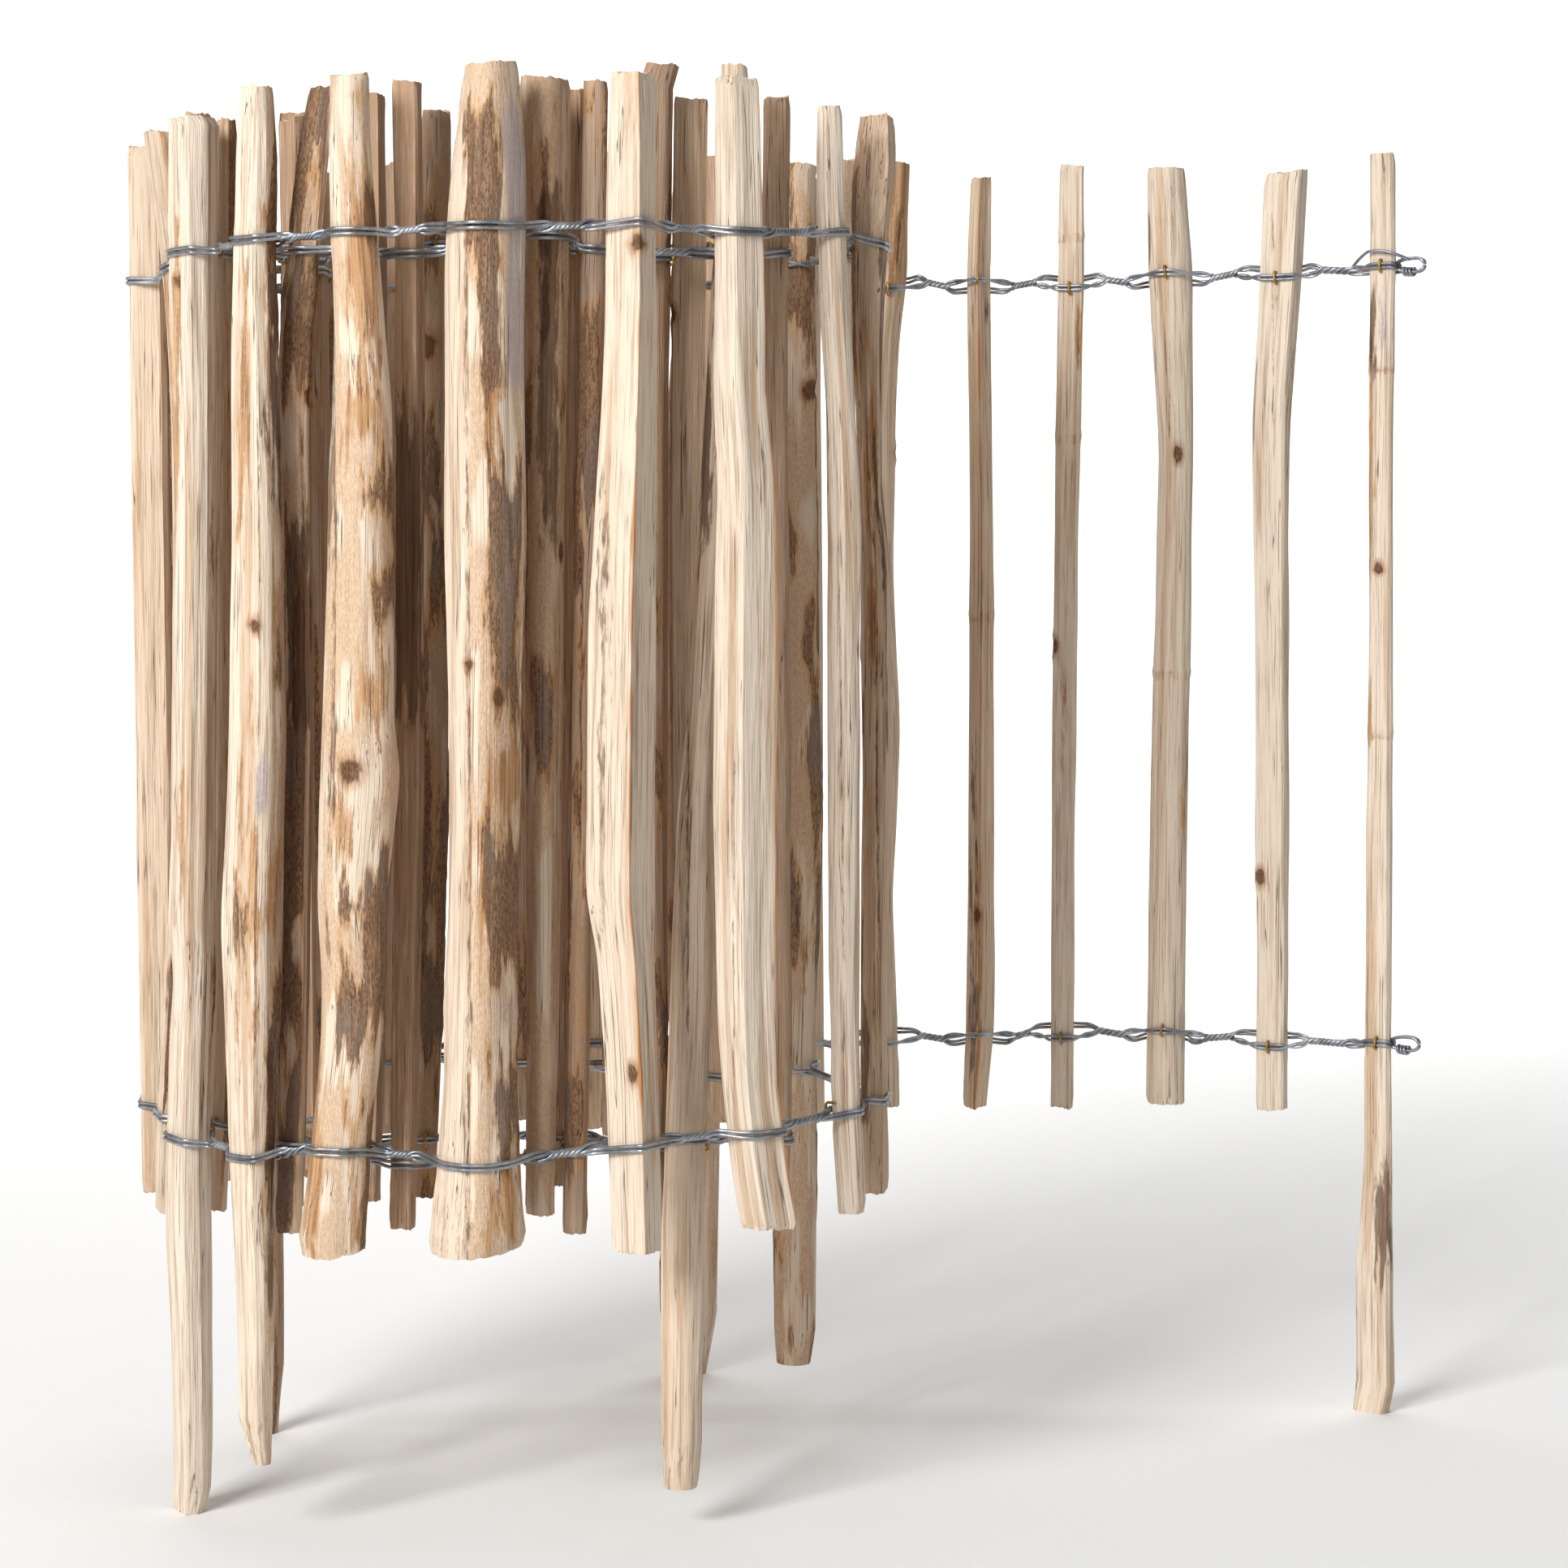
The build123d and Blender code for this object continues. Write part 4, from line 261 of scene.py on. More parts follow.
        (790.8, -126.3, -133.0, 16.5, 14.4), (787.3, -126.0, -133.0, 17.4, 15.2),
        (620.5, -125.7, -133.0, 16.2, 14.0), (397.9, -128.0, -133.0, 15.5, 14.0),
        (217.2, -130.6, -133.0, 13.8, 14.0), (190.8, -132.5, -133.0, 13.1, 13.3),]),
    ("pale_38", "R", 90.0, (707.8, 217.2), (-0.08, 0.1), [
        (779.6, -197.5, -135.0, 15.4, 17.3), (774.0, -197.5, -135.0, 16.2, 18.2),
        (620.5, -198.1, -135.0, 15.4, 16.0), (398.1, -201.0, -135.0, 14.6, 16.0),
        (217.6, -206.8, -135.0, 12.8, 16.0), (184.8, -208.4, -135.0, 12.2, 15.2),]),
    ("pale_39", "Q", 70.8, (701.5, 212.5), (-0.06, -0.05), [
        (788.6, -234.7, -133.0, 15.8, 14.5), (784.7, -234.6, -133.0, 16.6, 15.3),
        (620.5, -234.6, -133.0, 16.0, 14.0), (397.9, -234.6, -133.0, 14.1, 14.0),
        (217.2, -239.3, -133.0, 13.2, 14.0), (181.7, -240.3, -133.0, 12.5, 13.3),]),
    ("pale_40", "B", 31.8, (701.9, 210.0), (0.05, -0.03), [
        (777.9, -278.2, -105.0, 22.2, 10.4), (773.5, -277.9, -105.0, 23.4, 10.9),
        (621.3, -276.9, -105.0, 22.8, 10.6), (395.6, -278.2, -105.0, 23.0, 10.7), (212.4, -281.5, -105.0, 15.0, 7.0),
        (173.1, -283.1, -105.0, 14.2, 6.6),]),
    ("pale_41", "H", 3.0, (707.9, 213.4), (-0.04, -0.09), [
        (785.9, -287.2, -47.1, 25.3, 15.6), (777.9, -287.2, -46.4, 26.6, 16.4), (631.8, -287.2, -47.0, 25.3, 15.6),
        (485.8, -287.0, -48.2, 26.0, 16.0), (339.7, -286.9, -49.8, 25.6, 15.8), (193.7, -286.8, -51.3, 24.8, 15.2),
        (185.7, -286.8, -51.4, 23.6, 14.4),]),
    ("pale_42", "S", -1.9, (703.6, 217.6), (-0.08, 0.02), [
        (768.6, -285.1, 12.1, 26.5, 15.1), (760.6, -285.0, 13.1, 27.9, 15.9), (615.0, -285.0, 13.0, 29.2, 16.7),
        (469.4, -285.0, 11.9, 29.4, 16.8), (323.8, -285.0, 10.3, 29.3, 16.7), (178.1, -285.0, 8.8, 27.6, 15.8),
        (170.1, -285.0, 8.7, 26.2, 15.0),]),
]
# corner outlines of a split pale, in half widths (along the fence) and half thicknesses
# (across it): S slab, H half round with its flat outwards, B half round with its bark outwards,
# W wedge with its ridge outwards, R nearly round, Q quarter
OUTLINES = {
    "S": [(-1, -.7), (-.8, -1), (.75, -1), (1, -.75), (1, .7), (.9, 1), (-.85, 1), (-1, .8)],
    "H": [(-.95, .1), (-.65, -.6), (-.2, -1), (.3, -.98), (.72, -.55), (1, .2), (.92, 1), (-1, .95)],
    "B": [(-1, -1), (1, -.9), (1, -.25), (.72, .5), (.3, .95), (-.2, 1), (-.68, .6), (-.98, -.2)],
    "W": [(-1, -.35), (-.6, -.9), (0, -1), (.6, -.85), (1, -.3), (.5, .35), (0, 1), (-.5, .33)],
    "R": [(-.95, -.3), (-.4, -1), (.35, -.95), (.95, -.45), (1, .35), (.45, .95), (-.35, 1), (-.92, .4)],
    "Q": [(-1, -.8), (-.1, -1), (.6, -.85), (.95, -.3), (1, .5), (.85, 1), (-.7, .95), (-1, .6)],
}


def axes(angle):
    v = (math.cos(math.radians(angle)), math.sin(math.radians(angle)))
    return (-v[1], v[0]), v


def corners(kind, angle, level):
    z, x, y, w, t = level
    u, v = axes(angle)
    return [(x + u[0] * a * w / 2 + v[0] * b * t / 2, y + u[1] * a * w / 2 + v[1] * b * t / 2)
            for a, b in OUTLINES[kind]]


def level_at(levels, z):
    for hi, lo in zip(levels, levels[1:]):
        if z >= lo[0]:
            f = (z - lo[0]) / (hi[0] - lo[0])
            return tuple(l + (h - l) * f for h, l in zip(hi, lo))
    return levels[-1]


def hull(points):
    pts = sorted(set((round(x, 6), round(y, 6)) for x, y in points))

    def half(seq):
        out = []
        for p in seq:
            while len(out) > 1 and ((out[-1][0] - out[-2][0]) * (p[1] - out[-2][1])
                                    - (out[-1][1] - out[-2][1]) * (p[0] - out[-2][0])) <= 1e-9:
                out.pop()
            out.append(p)
        return out
    lower, upper = half(pts), half(pts[::-1])
    return lower[:-1] + upper[:-1]


def grow(poly, d):
    """A convex outline moved out by d all round, with its corners mitred."""
    out = []
    n = len(poly)
    for i in range(n):
        a, b, c = poly[i - 1], poly[i], poly[(i + 1) % n]
        n1 = unit(b[1] - a[1], a[0] - b[0])
        n2 = unit(c[1] - b[1], b[0] - c[0])
        k = 1 + n1[0] * n2[0] + n1[1] * n2[1]
        if k > 0.25:
            out.append((b[0] + d * (n1[0] + n2[0]) / k, b[1] + d * (n1[1] + n2[1]) / k))
        else:
            m = unit(n1[0] + n2[0], n1[1] + n2[1])
            for q in (n1, n2):
                s = unit(q[0] + m[0], q[1] + m[1])
                c2 = q[0] * s[0] + q[1] * s[1]
                out.append((b[0] + d * s[0] / c2, b[1] + d * s[1] / c2))
    return hull(out)


def unit(x, y):
    n = math.hypot(x, y)
    return (x / n, y / n)


def taut(start, end, poly, side):
    """The stretched way from start to end round one side of a convex outline.
    side is +1 to pass on the right of the way, -1 to pass on its left."""
    h = hull([start, end] + poly)
    key = lambda p: (round(p[0], 6), round(p[1], 6))
    if key(start) not in h or key(end) not in h:
        # a tight gap: follow every corner that lies on this side of the straight way
        on = [p for p in hull(poly) if side * ((p[0] - start[0]) * (end[1] - start[1])
                                               - (p[1] - start[1]) * (end[0] - start[0])) > 0]
        d = unit(end[0] - start[0], end[1] - start[1])
        on.sort(key=lambda p: p[0] * d[0] + p[1] * d[1])
        return [start] + on + [end]
    i, j = h.index(key(start)), h.index(key(end))
    n = len(h)
    way = []
    k = i
    while True:
        way.append(h[k])
        if k == j:
            break
        k = (k + side) % n      # counter-clockwise keeps the outline on the left
    return way


def thin(way):
    """Leave out points too close together or all but in line."""
    out = [way[0]]
    for i, p in enumerate(way[1:-1], 1):
        q = way[i + 1]
        if math.dist(out[-1], p) < 0.9:
            continue
        a, b = unit(p[0] - out[-1][0], p[1] - out[-1][1]), unit(q[0] - p[0], q[1] - p[1])
        if math.dist(p, q) > 1e-6 and abs(a[0] * b[1] - a[1] * b[0]) < 0.004:
            continue
        out.append(p)
    if math.dist(out[-1], way[-1]) < 0.9 and len(out) > 1:
        out.pop()
    out.append(way[-1])
    return out


def wire_outline(picket, line):
    """Outline of the wood at a wire, over the height that the wires cover."""
    name, kind, angle, heights, cut, levels = picket
    z = heights[line]
    pts = []
    for dz in (-3, 0, 3):
        pts += corners(kind, angle, level_at(levels, z + dz))
    out = []
    for p in hull(pts):
        if not out or math.dist(out[-1], p) > 0.6:
            out.append(p)
    return out


def wire_ways(line):
    """Plan of the two pairs of one wire line: on the right and on the left of the pales,
    counted from the free end. Each point is (x, y, z)."""
    wood = [wire_outline(p, line) for p in PICKETS]
    mid = [(sum(x for x, y in w) / len(w), sum(y for x, y in w) / len(w)) for w in wood]
    n = len(PICKETS)
    right, left = [], []
    off = wire_d / 2 + 0.25
    for i in range(n):
        clear = grow(wood[i], wire_d / 2 + wire_gap)
        ends = []
        for j, s in ((i - 1, -1), (i + 1, 1)):
            if j < 0 or j >= n:
                k = (i + 1 if j < 0 else i - 1)
                d = unit(mid[i][0] - mid[k][0], mid[i][1] - mid[k][1])
                reach = max((x - mid[i][0]) * d[0] + (y - mid[i][1]) * d[1] for x, y in wood[i])
                ends.append(((mid[i][0] + d[0] * (reach + loop_reach), mid[i][1] + d[1] * (reach + loop_reach)), d))
                continue
            d = unit(mid[j][0] - mid[i][0], mid[j][1] - mid[i][1])
            reach = max((x - mid[i][0]) * d[0] + (y - mid[i][1]) * d[1] for x, y in wood[i])
            back = max(-(x - mid[j][0]) * d[0] - (y - mid[j][1]) * d[1] for x, y in wood[j])
            free = math.dist(mid[i], mid[j]) - reach - back
            lead = reach + min(gap_lead, 0.42 * free)
            ends.append(((mid[i][0] + d[0] * lead, mid[i][1] + d[1] * lead), d))
        (s0, d0), (s1, d1) = ends
        along0, along1 = (-d0[0], -d0[1]), d1
        for side, way in ((1, right), (-1, left)):
            a = (s0[0] + side * off * along0[1], s0[1] - side * off * along0[0])
            b = (s1[0] + side * off * along1[1], s1[1] - side * off * along1[0])
            z = PICKETS[i][3][line]
            pts = [(x, y, z) for x, y in thin(taut(a, b, clear, side))]
            way.append(pts)
    for way in (right, left):       # the pairs climb or drop evenly between two pales
        for i in range(n - 1):
            a, b, c, d = way[i][-2], way[i][-1], way[i + 1][0], way[i + 1][1]
            ab, bc, cd = math.dist(a[:2], b[:2]), math.dist(b[:2], c[:2]), math.dist(c[:2], d[:2])
            rise = (d[2] - a[2]) / (ab + bc + cd)
            way[i][-1] = (b[0], b[1], a[2] + rise * ab)
            way[i + 1][0] = (c[0], c[1], a[2] + rise * (ab + bc))
    return right, left


def whole(way):
    """One run of points, with no bend so close to the next that the wire would cut itself."""
    out, gaps = [], []
    for pts in way:
        for k, p in enumerate(pts):
            if not out or math.dist(out[-1], p) > 0.5:
                out.append(p)
                gaps.append(k in (0, len(pts) - 1))
    i = 1
    while i < len(out) - 2:
        a, b, c, d = out[i - 1:i + 3]
        ab, bc, cd = math.dist(a[:2], b[:2]), math.dist(b[:2], c[:2]), math.dist(c[:2], d[:2])
        u = ((b[0] - a[0]) / ab, (b[1] - a[1]) / ab)
        m = ((c[0] - b[0]) / bc, (c[1] - b[1]) / bc)
        v = ((d[0] - c[0]) / cd, (d[1] - c[1]) / cd)
        t1 = abs(math.atan2(u[0] * m[1] - u[1] * m[0], u[0] * m[0] + u[1] * m[1]))
        t2 = abs(math.atan2(m[0] * v[1] - m[1] * v[0], m[0] * v[0] + m[1] * v[1]))
        need = wire_d / 2 * (math.tan(t1 / 2) + math.tan(t2 / 2)) * 1.25
        turn = u[0] * v[1] - u[1] * v[0]
        if bc < max(need, 0.9):
            q = None
            if gaps[i] != gaps[i + 1]:
                q = b if gaps[i] else c
            elif abs(turn) > 0.05 and not gaps[i]:
                k = ((c[0] - b[0]) * v[1] - (c[1] - b[1]) * v[0]) / turn
                if 0 < k < 1.6:
                    q = (b[0] + u[0] * k, b[1] + u[1] * k, (b[2] + c[2]) / 2)
            if q is None:
                q = tuple((s + r) / 2 for s, r in zip(b, c))
            out[i:i + 2] = [q]
            gaps[i:i + 2] = [gaps[i] or gaps[i + 1]]
            i = max(1, i - 1)
        else:
            i += 1
    return out


def staple_place(pts):
    """Middle of the longest straight stretch of the wires over a pale, on its inner side,
    and the way out of the wood there."""
    best = None
    if len(pts) < 3:
        return None             # inside a sharp bend the wires pass free of the wood
    if len(pts) < 4:
        a, m, b = pts
        return (m[0], m[1]), unit(a[1] - b[1], b[0] - a[0])
    for a, b in zip(pts[1:-2], pts[2:-1]):
        size = math.dist(a[:2], b[:2])
        if best is None or size > best[0]:
            best = (size, ((a[0] + b[0]) / 2, (a[1] + b[1]) / 2), unit(a[1] - b[1], b[0] - a[0]))
    return best[1], best[2]




# named patches of bark, orange under-bark, dark patches and grey bloom, as (x, z) outlines in mm; the dark patches are
# partly stains and torn wood and partly painted shade along cracks and shaded strips
SPOTS = {
    "pale_14": [
        ("bark", [(-360.4, 310.3), (-355.4, 305.6), (-355.4, 231.3), (-360.5, 226.6)]),
        ("grey", [(-350.1, 734.8), (-341.9, 734.8), (-342.8, 658.2), (-351.0, 658.2)]),
        ("ochre", [(-358.7, 698.8), (-352.3, 698.8), (-353.1, 635.5), (-359.5, 635.5)]),
    ],
    "stake_02": [
        ("ochre", [(-346.2, 736.0), (-340.9, 733.3), (-340.7, 677.7), (-345.1, 531.7), (-348.7, 531.7)]),
        ("dark", [(-322.1, 740.4), (-315.9, 740.4), (-317.1, 634.2), (-322.7, 652.0)]),
        ("dark", [(-323.2, 567.4), (-317.8, 567.4), (-319.3, 441.9), (-324.7, 441.9)]),
        ("ochre", [(-346.4, 428.4), (-339.2, 428.4), (-340.3, 337.9), (-347.5, 337.9)]),
        ("bark", [(-328.8, 315.2), (-323.5, 306.1), (-324.7, 205.6), (-328.2, 214.8)]),
    ],
    "stake_03": [
        ("bark", [(-282.4, 775.0), (-277.2, 774.2), (-278.8, 704.8), (-283.6, 707.3)]),
        ("ochre", [(-287.7, 727.1), (-282.5, 727.1), (-282.7, 709.1), (-287.9, 709.1)]),
        ("ochre", [(-299.2, 703.5), (-292.7, 701.3), (-292.6, 672.1), (-299.0, 558.7), (-302.5, 558.7)]),
        ("ochre", [(-290.7, 686.3), (-283.8, 686.3), (-283.9, 674.7), (-290.8, 674.7)]),
        ("dark", [(-285.0, 654.0), (-278.5, 654.0), (-279.4, 558.7), (-286.0, 558.7)]),
        ("ochre", [(-301.0, 462.8), (-294.9, 462.8), (-295.7, 383.8), (-301.8, 383.8)]),
        ("ochre", [(-298.3, 389.1), (-293.0, 389.1), (-293.7, 328.7), (-298.9, 328.7)]),
        ("ochre", [(-287.8, 383.8), (-281.7, 383.8), (-282.2, 335.3), (-288.3, 335.3)]),
        ("grey", [(-292.6, 429.5), (-286.0, 429.5), (-286.2, 409.3), (-292.8, 409.3)]),
        ("ochre", [(-296.6, 299.9), (-292.2, 299.9), (-292.7, 255.6), (-297.1, 255.6)]),
        ("dark", [(-289.9, 268.9), (-283.7, 268.9), (-286.0, 135.0), (-292.2, 135.0)]),
        ("bark", [(-303.1, 348.6), (-298.7, 348.6), (-299.4, 286.6), (-303.8, 286.6)]),
    ],
    "pale_15": [
        ("ochre", [(-239.2, 786.0), (-222.2, 786.0), (-223.2, 770.0), (-236.8, 770.9)]),
        ("ochre", [(-242.1, 754.9), (-228.5, 754.0), (-220.4, 703.4), (-224.1, 660.2), (-240.3, 661.1)]),
        ("dark", [(-231.2, 727.1), (-221.9, 724.5), (-223.8, 702.6), (-230.6, 704.2)]),
        ("bark", [(-231.6, 585.4), (-214.5, 583.6), (-215.6, 557.2), (-231.0, 558.9)]),
        ("bark", [(-249.4, 322.5), (-217.4, 320.8), (-218.7, 277.2), (-248.1, 278.9)]),
        ("bark", [(-229.9, 377.2), (-214.4, 372.9), (-217.8, 273.7), (-234.3, 274.6)]),
        ("bark", [(-243.0, 364.2), (-230.9, 363.4), (-231.9, 346.0), (-242.3, 346.9)]),
        ("ochre", [(-243.1, 251.8), (-233.6, 251.8), (-235.2, 164.9), (-242.2, 164.9)]),
        ("bark", [(-234.5, 250.9), (-227.5, 250.9), (-229.1, 164.9), (-234.3, 164.9)]),
        ("dark", [(-252.6, 447.3), (-247.4, 447.3), (-248.6, 317.3), (-253.8, 317.3)]),
        ("ochre", [(-247.8, 408.4), (-235.7, 408.4), (-236.0, 378.1), (-248.1, 378.1)]),
        ("ochre", [(-268.1, 273.7), (-254.2, 273.7), (-256.0, 171.9), (-267.3, 171.9)]),
        ("ochre", [(-242.2, 644.1), (-220.8, 644.1), (-221.3, 593.0), (-242.7, 593.0)]),
        ("bark", [(-229.4, 537.5), (-214.9, 537.5), (-215.1, 507.5), (-225.5, 498.9)]),
        ("ochre", [(-235.0, 490.3), (-217.8, 490.3), (-218.2, 447.3), (-235.4, 447.3)]),
        ("dark", [(-251.0, 618.6), (-245.0, 618.6), (-245.9, 524.6), (-251.9, 524.6)]),
    ],
    "pale_16": [
        ("split", [(-196.9, 802.6), (-175.8, 802.6), (-174.3, 769.3), (-174.7, 575.9), (-174.5, 405.3), (-175.4, 275.9), (-176.5, 162.7), (-203.7, 162.7), (-196.4, 275.9), (-190.9, 448.2), (-193.7, 660.3)]),
        ("bark", [(-176.0, 772.2), (-157.9, 772.2), (-154.7, 727.5), (-155.3, 625.8), (-164.2, 627.5), (-170.8, 668.8), (-174.6, 727.5)]),
        ("grey", [(-158.3, 770.1), (-142.3, 768.5), (-143.0, 625.8), (-154.9, 626.6), (-154.7, 727.5)]),
        ("bark", [(-163.6, 585.2), (-146.7, 582.7), (-148.2, 447.3), (-162.7, 449.9), (-165.7, 516.5)]),
        ("grey", [(-163.6, 311.4), (-148.1, 309.7), (-148.2, 292.4), (-162.8, 293.3)]),
        ("bark", [(-166.3, 276.8), (-150.0, 275.1), (-150.3, 222.9), (-164.9, 224.7)]),
        ("ochre", [(-165.8, 222.1), (-149.4, 221.2), (-150.6, 169.3), (-165.3, 171.5)]),
        ("ochre", [(-163.6, 446.0), (-148.2, 446.0), (-148.5, 401.0), (-163.9, 401.0)]),
        ("ochre", [(-170.7, 405.3), (-165.6, 403.2), (-166.2, 301.9), (-170.4, 310.6)]),
        ("bark", [(-166.5, 389.4), (-148.5, 388.2), (-149.8, 312.3), (-164.4, 314.0)]),
        ("ochre", [(-164.1, 651.9), (-156.5, 651.9), (-156.8, 584.4), (-164.5, 584.4)]),
    ],
    "pale_17": [
        ("dark", [(-105.1, 582.3), (-102.6, 584.5), (-104.5, 404.4), (-106.1, 326.5), (-106.9, 326.5)]),
    ],
    "pale_19": [
        ("ochre", [(6.1, 620.7), (9.7, 620.7), (9.8, 442.5), (6.2, 442.5)]),
    ],
    "pale_20": [
        ("dark", [(44.0, 712.0), (49.0, 712.0), (49.6, 439.7), (45.9, 439.7)]),
        ("dark", [(34.3, 278.3), (41.2, 278.3), (41.3, 208.6), (34.4, 208.6)]),
        ("ochre", [(36.4, 658.0), (42.8, 658.0), (43.1, 476.3), (36.7, 476.3)]),
    ],
    "pale_05": [
        ("ochre", [(55.0, 796.4), (73.0, 796.4), (73.3, 699.1), (57.2, 701.7)]),
        ("dark", [(62.8, 748.9), (64.9, 748.9), (64.9, 726.3), (62.9, 726.3)]),
    ],
    "pale_04": [
        ("dark", [(109.3, 687.1), (112.4, 687.1), (112.0, 674.7), (109.9, 676.8)]),
        ("dark", [(119.1, 692.2), (121.7, 692.2), (121.8, 684.0), (119.2, 684.0)]),
        ("dark", [(110.9, 422.0), (114.5, 422.0), (115.4, 201.2), (111.7, 201.2)]),
    ],
    "pale_03": [
        ("ochre", [(176.6, 690.9), (180.7, 690.9), (180.9, 649.9), (176.8, 649.9)]),
        ("ochre", [(167.5, 464.0), (170.6, 464.0), (171.2, 370.2), (168.0, 370.2)]),
    ],
    "pale_02": [
        ("dark", [(219.2, 747.7), (221.8, 745.7), (221.9, 724.4), (219.9, 726.5)]),
        ("ochre", [(241.7, 423.5), (246.9, 423.5), (247.5, 351.0), (242.3, 351.0)]),
    ],
    "pale_01": [
        ("ochre", [(306.3, 668.3), (311.4, 668.3), (311.9, 618.0), (306.8, 618.0)]),
    ],
    "end_stake": [
        ("dark", [(357.7, 155.6), (372.8, 155.6), (374.7, 81.9), (362.6, 81.9), (359.0, 123.9)]),
        ("dark", [(350.1, 702.0), (353.6, 702.0), (354.1, 656.7), (350.7, 656.7)]),
        ("grey", [(354.2, 696.1), (361.1, 696.1), (361.7, 651.7), (354.7, 651.7)]),
        ("dark", [(357.2, 774.7), (360.1, 774.7), (360.2, 767.9), (357.3, 767.9)]),
        ("ochre", [(347.3, 686.3), (350.3, 686.3), (353.4, 427.7), (350.4, 427.7)]),
    ],
    "pale_30": [
        ("bark", [(-280.9, 694.7), (-260.0, 693.0), (-261.5, 627.8), (-279.0, 629.5)]),
        ("dark", [(-281.4, 567.4), (-261.2, 567.4), (-262.3, 444.2), (-282.6, 444.2)]),
    ],
    "pale_31": [
        ("dark", [(-224.3, 619.4), (-202.6, 619.4), (-203.9, 445.4), (-225.7, 445.4)]),
    ],
    "pale_38": [
        ("bark", [(-215.6, 621.1), (-196.2, 619.4), (-197.4, 566.6), (-215.1, 568.3)]),
        ("bark", [(-207.7, 732.7), (-193.7, 731.4), (-194.0, 685.1), (-207.2, 686.0)]),
    ],
    "pale_33": [
        ("bark", [(-128.9, 677.9), (-107.2, 677.9), (-108.5, 558.7), (-127.7, 558.7)]),
    ],
    "pale_32": [
        ("dark", [(-140.7, 730.6), (-127.8, 730.6), (-128.7, 532.8), (-141.7, 532.8)]),
    ],
    "stake_04": [
        ("dark", [(10.4, 722.2), (15.2, 722.2), (15.4, 479.8), (10.6, 479.8)]),
    ],
    "stake_06": [
        ("dark", [(-55.3, 724.2), (-46.6, 724.2), (-46.8, 532.3), (-55.6, 532.3)]),
    ],
}

# knots as (x, z, radius) in mm
KNOTS = {
    "stake_02": [(-341.8, 689.2, 3.5)],
    "pale_15": [(-238.1, 426.6, 7.0)],
    "pale_16": [(-174.5, 482.4, 3.2)],
    "pale_17": [(-85.5, 703.1, 4.5)],
    "pale_38": [(-203.9, 653.2, 7.0)],
    "stake_04": [(7.5, 635.4, 6.0)],
    "stake_03": [(-292.7, 502.2, 4.0)],
    "pale_19": [(7.9, 682.5, 3.0)],
    "pale_05": [(64.7, 598.6, 4.0)],
    "end_stake": [(357.2, 527.7, 3.5)],
}

# grooves and long cracks: way down the face in mm, depth and half width; each is also painted dark, as painted shade in
# the crack
GROOVES = {
    "pale_02": [
        ([(234.0, 689.9), (234.7, 598.2)], 0.8, 0.6),
    ],
    "pale_03": [
        ([(178.6, 690.9), (177.4, 639.6)], 0.7, 0.6),
    ],
    "pale_16": [
        ([(-174.7, 771.4), (-175.2, 575.9), (-175.0, 405.3), (-175.8, 275.9), (-176.9, 168.8)], 2.0, 1.5),
    ],
    "pale_17": [
        ([(-102.6, 584.5), (-104.3, 447.5), (-106.1, 326.5)], 1.3, 0.8),
    ],
    "pale_01": [
        ([(294.8, 763.4), (295.9, 597.8)], 0.9, 0.6),
    ],
    "pale_05": [
        ([(63.8, 751.9), (63.9, 717.1)], 0.9, 0.7),
    ],
    "pale_15": [
        ([(-248.5, 703.4), (-246.6, 533.2), (-249.9, 360.8)], 1.2, 1.4),
    ],
    "stake_06": [
        ([(-63.5, 576.2), (-62.0, 399.9), (-61.4, 266.2)], 1.0, 0.9),
    ],
    "pale_20": [
        ([(41.0, 621.8), (42.7, 439.7), (44.8, 301.5)], 1.2, 0.8),
    ],
    "stake_03": [
        ([(-290.0, 671.2), (-289.7, 532.7), (-292.0, 401.4)], 0.8, 0.8),
    ],
    "pale_30": [
        ([(-269.4, 619.9), (-269.4, 444.2)], 1.2, 1.0),
    ],
    "pale_33": [
        ([(-118.1, 554.4), (-119.8, 357.0)], 1.4, 1.0),
    ],
    "pale_18": [
        ([(-35.6, 445.7), (-36.7, 225.5)], 0.8, 0.7),
    ],
    "pale_19": [
        ([(21.3, 531.9), (24.3, 307.2)], 0.9, 0.7),
    ],
}

# 0 is cream and 1 is tan; from 1 to 2 the wood goes on to dark brown, partly its own deeper tone and partly painted
# shade for the inner pales that lie in shade in the roll
TONE_AND_SHADE = {"end_stake": 0.2, "pale_01": 0.15, "pale_02": 0.3, "pale_03": 0.4, "pale_04": 1.0, "pale_05": 0.85,
    "pale_14": 0.65, "stake_02": 0.02, "stake_03": 0.3, "pale_15": 0.45, "pale_16": 0.5, "pale_17": 0.3,
    "pale_18": 0.18, "pale_19": 0.1, "pale_20": 1.25, "pale_21": 1.2, "stake_04": 1.3, "pale_29": 1.3,
    "pale_30": 1.2, "pale_31": 1.7, "pale_32": 1.3, "pale_33": 1.6, "stake_06": 0.6, "pale_34": 1.5,
    "pale_35": 1.3, "pale_36": 1.7, "pale_37": 1.8, "pale_38": 1.5, "pale_39": 1.7, "pale_40": 1.7,
    "pale_41": 1.7, "pale_42": 1.7, "pale_22": 1.5, "pale_23": 1.6, "pale_24": 1.6, "pale_25": 1.6,
    "pale_26": 1.6, "stake_05": 1.5, "pale_27": 1.2, "pale_28": 1.1, "pale_06": 1.0, "stake_01": 1.1,
    "pale_07": 1.1, "pale_08": 0.9, "pale_09": 0.8}
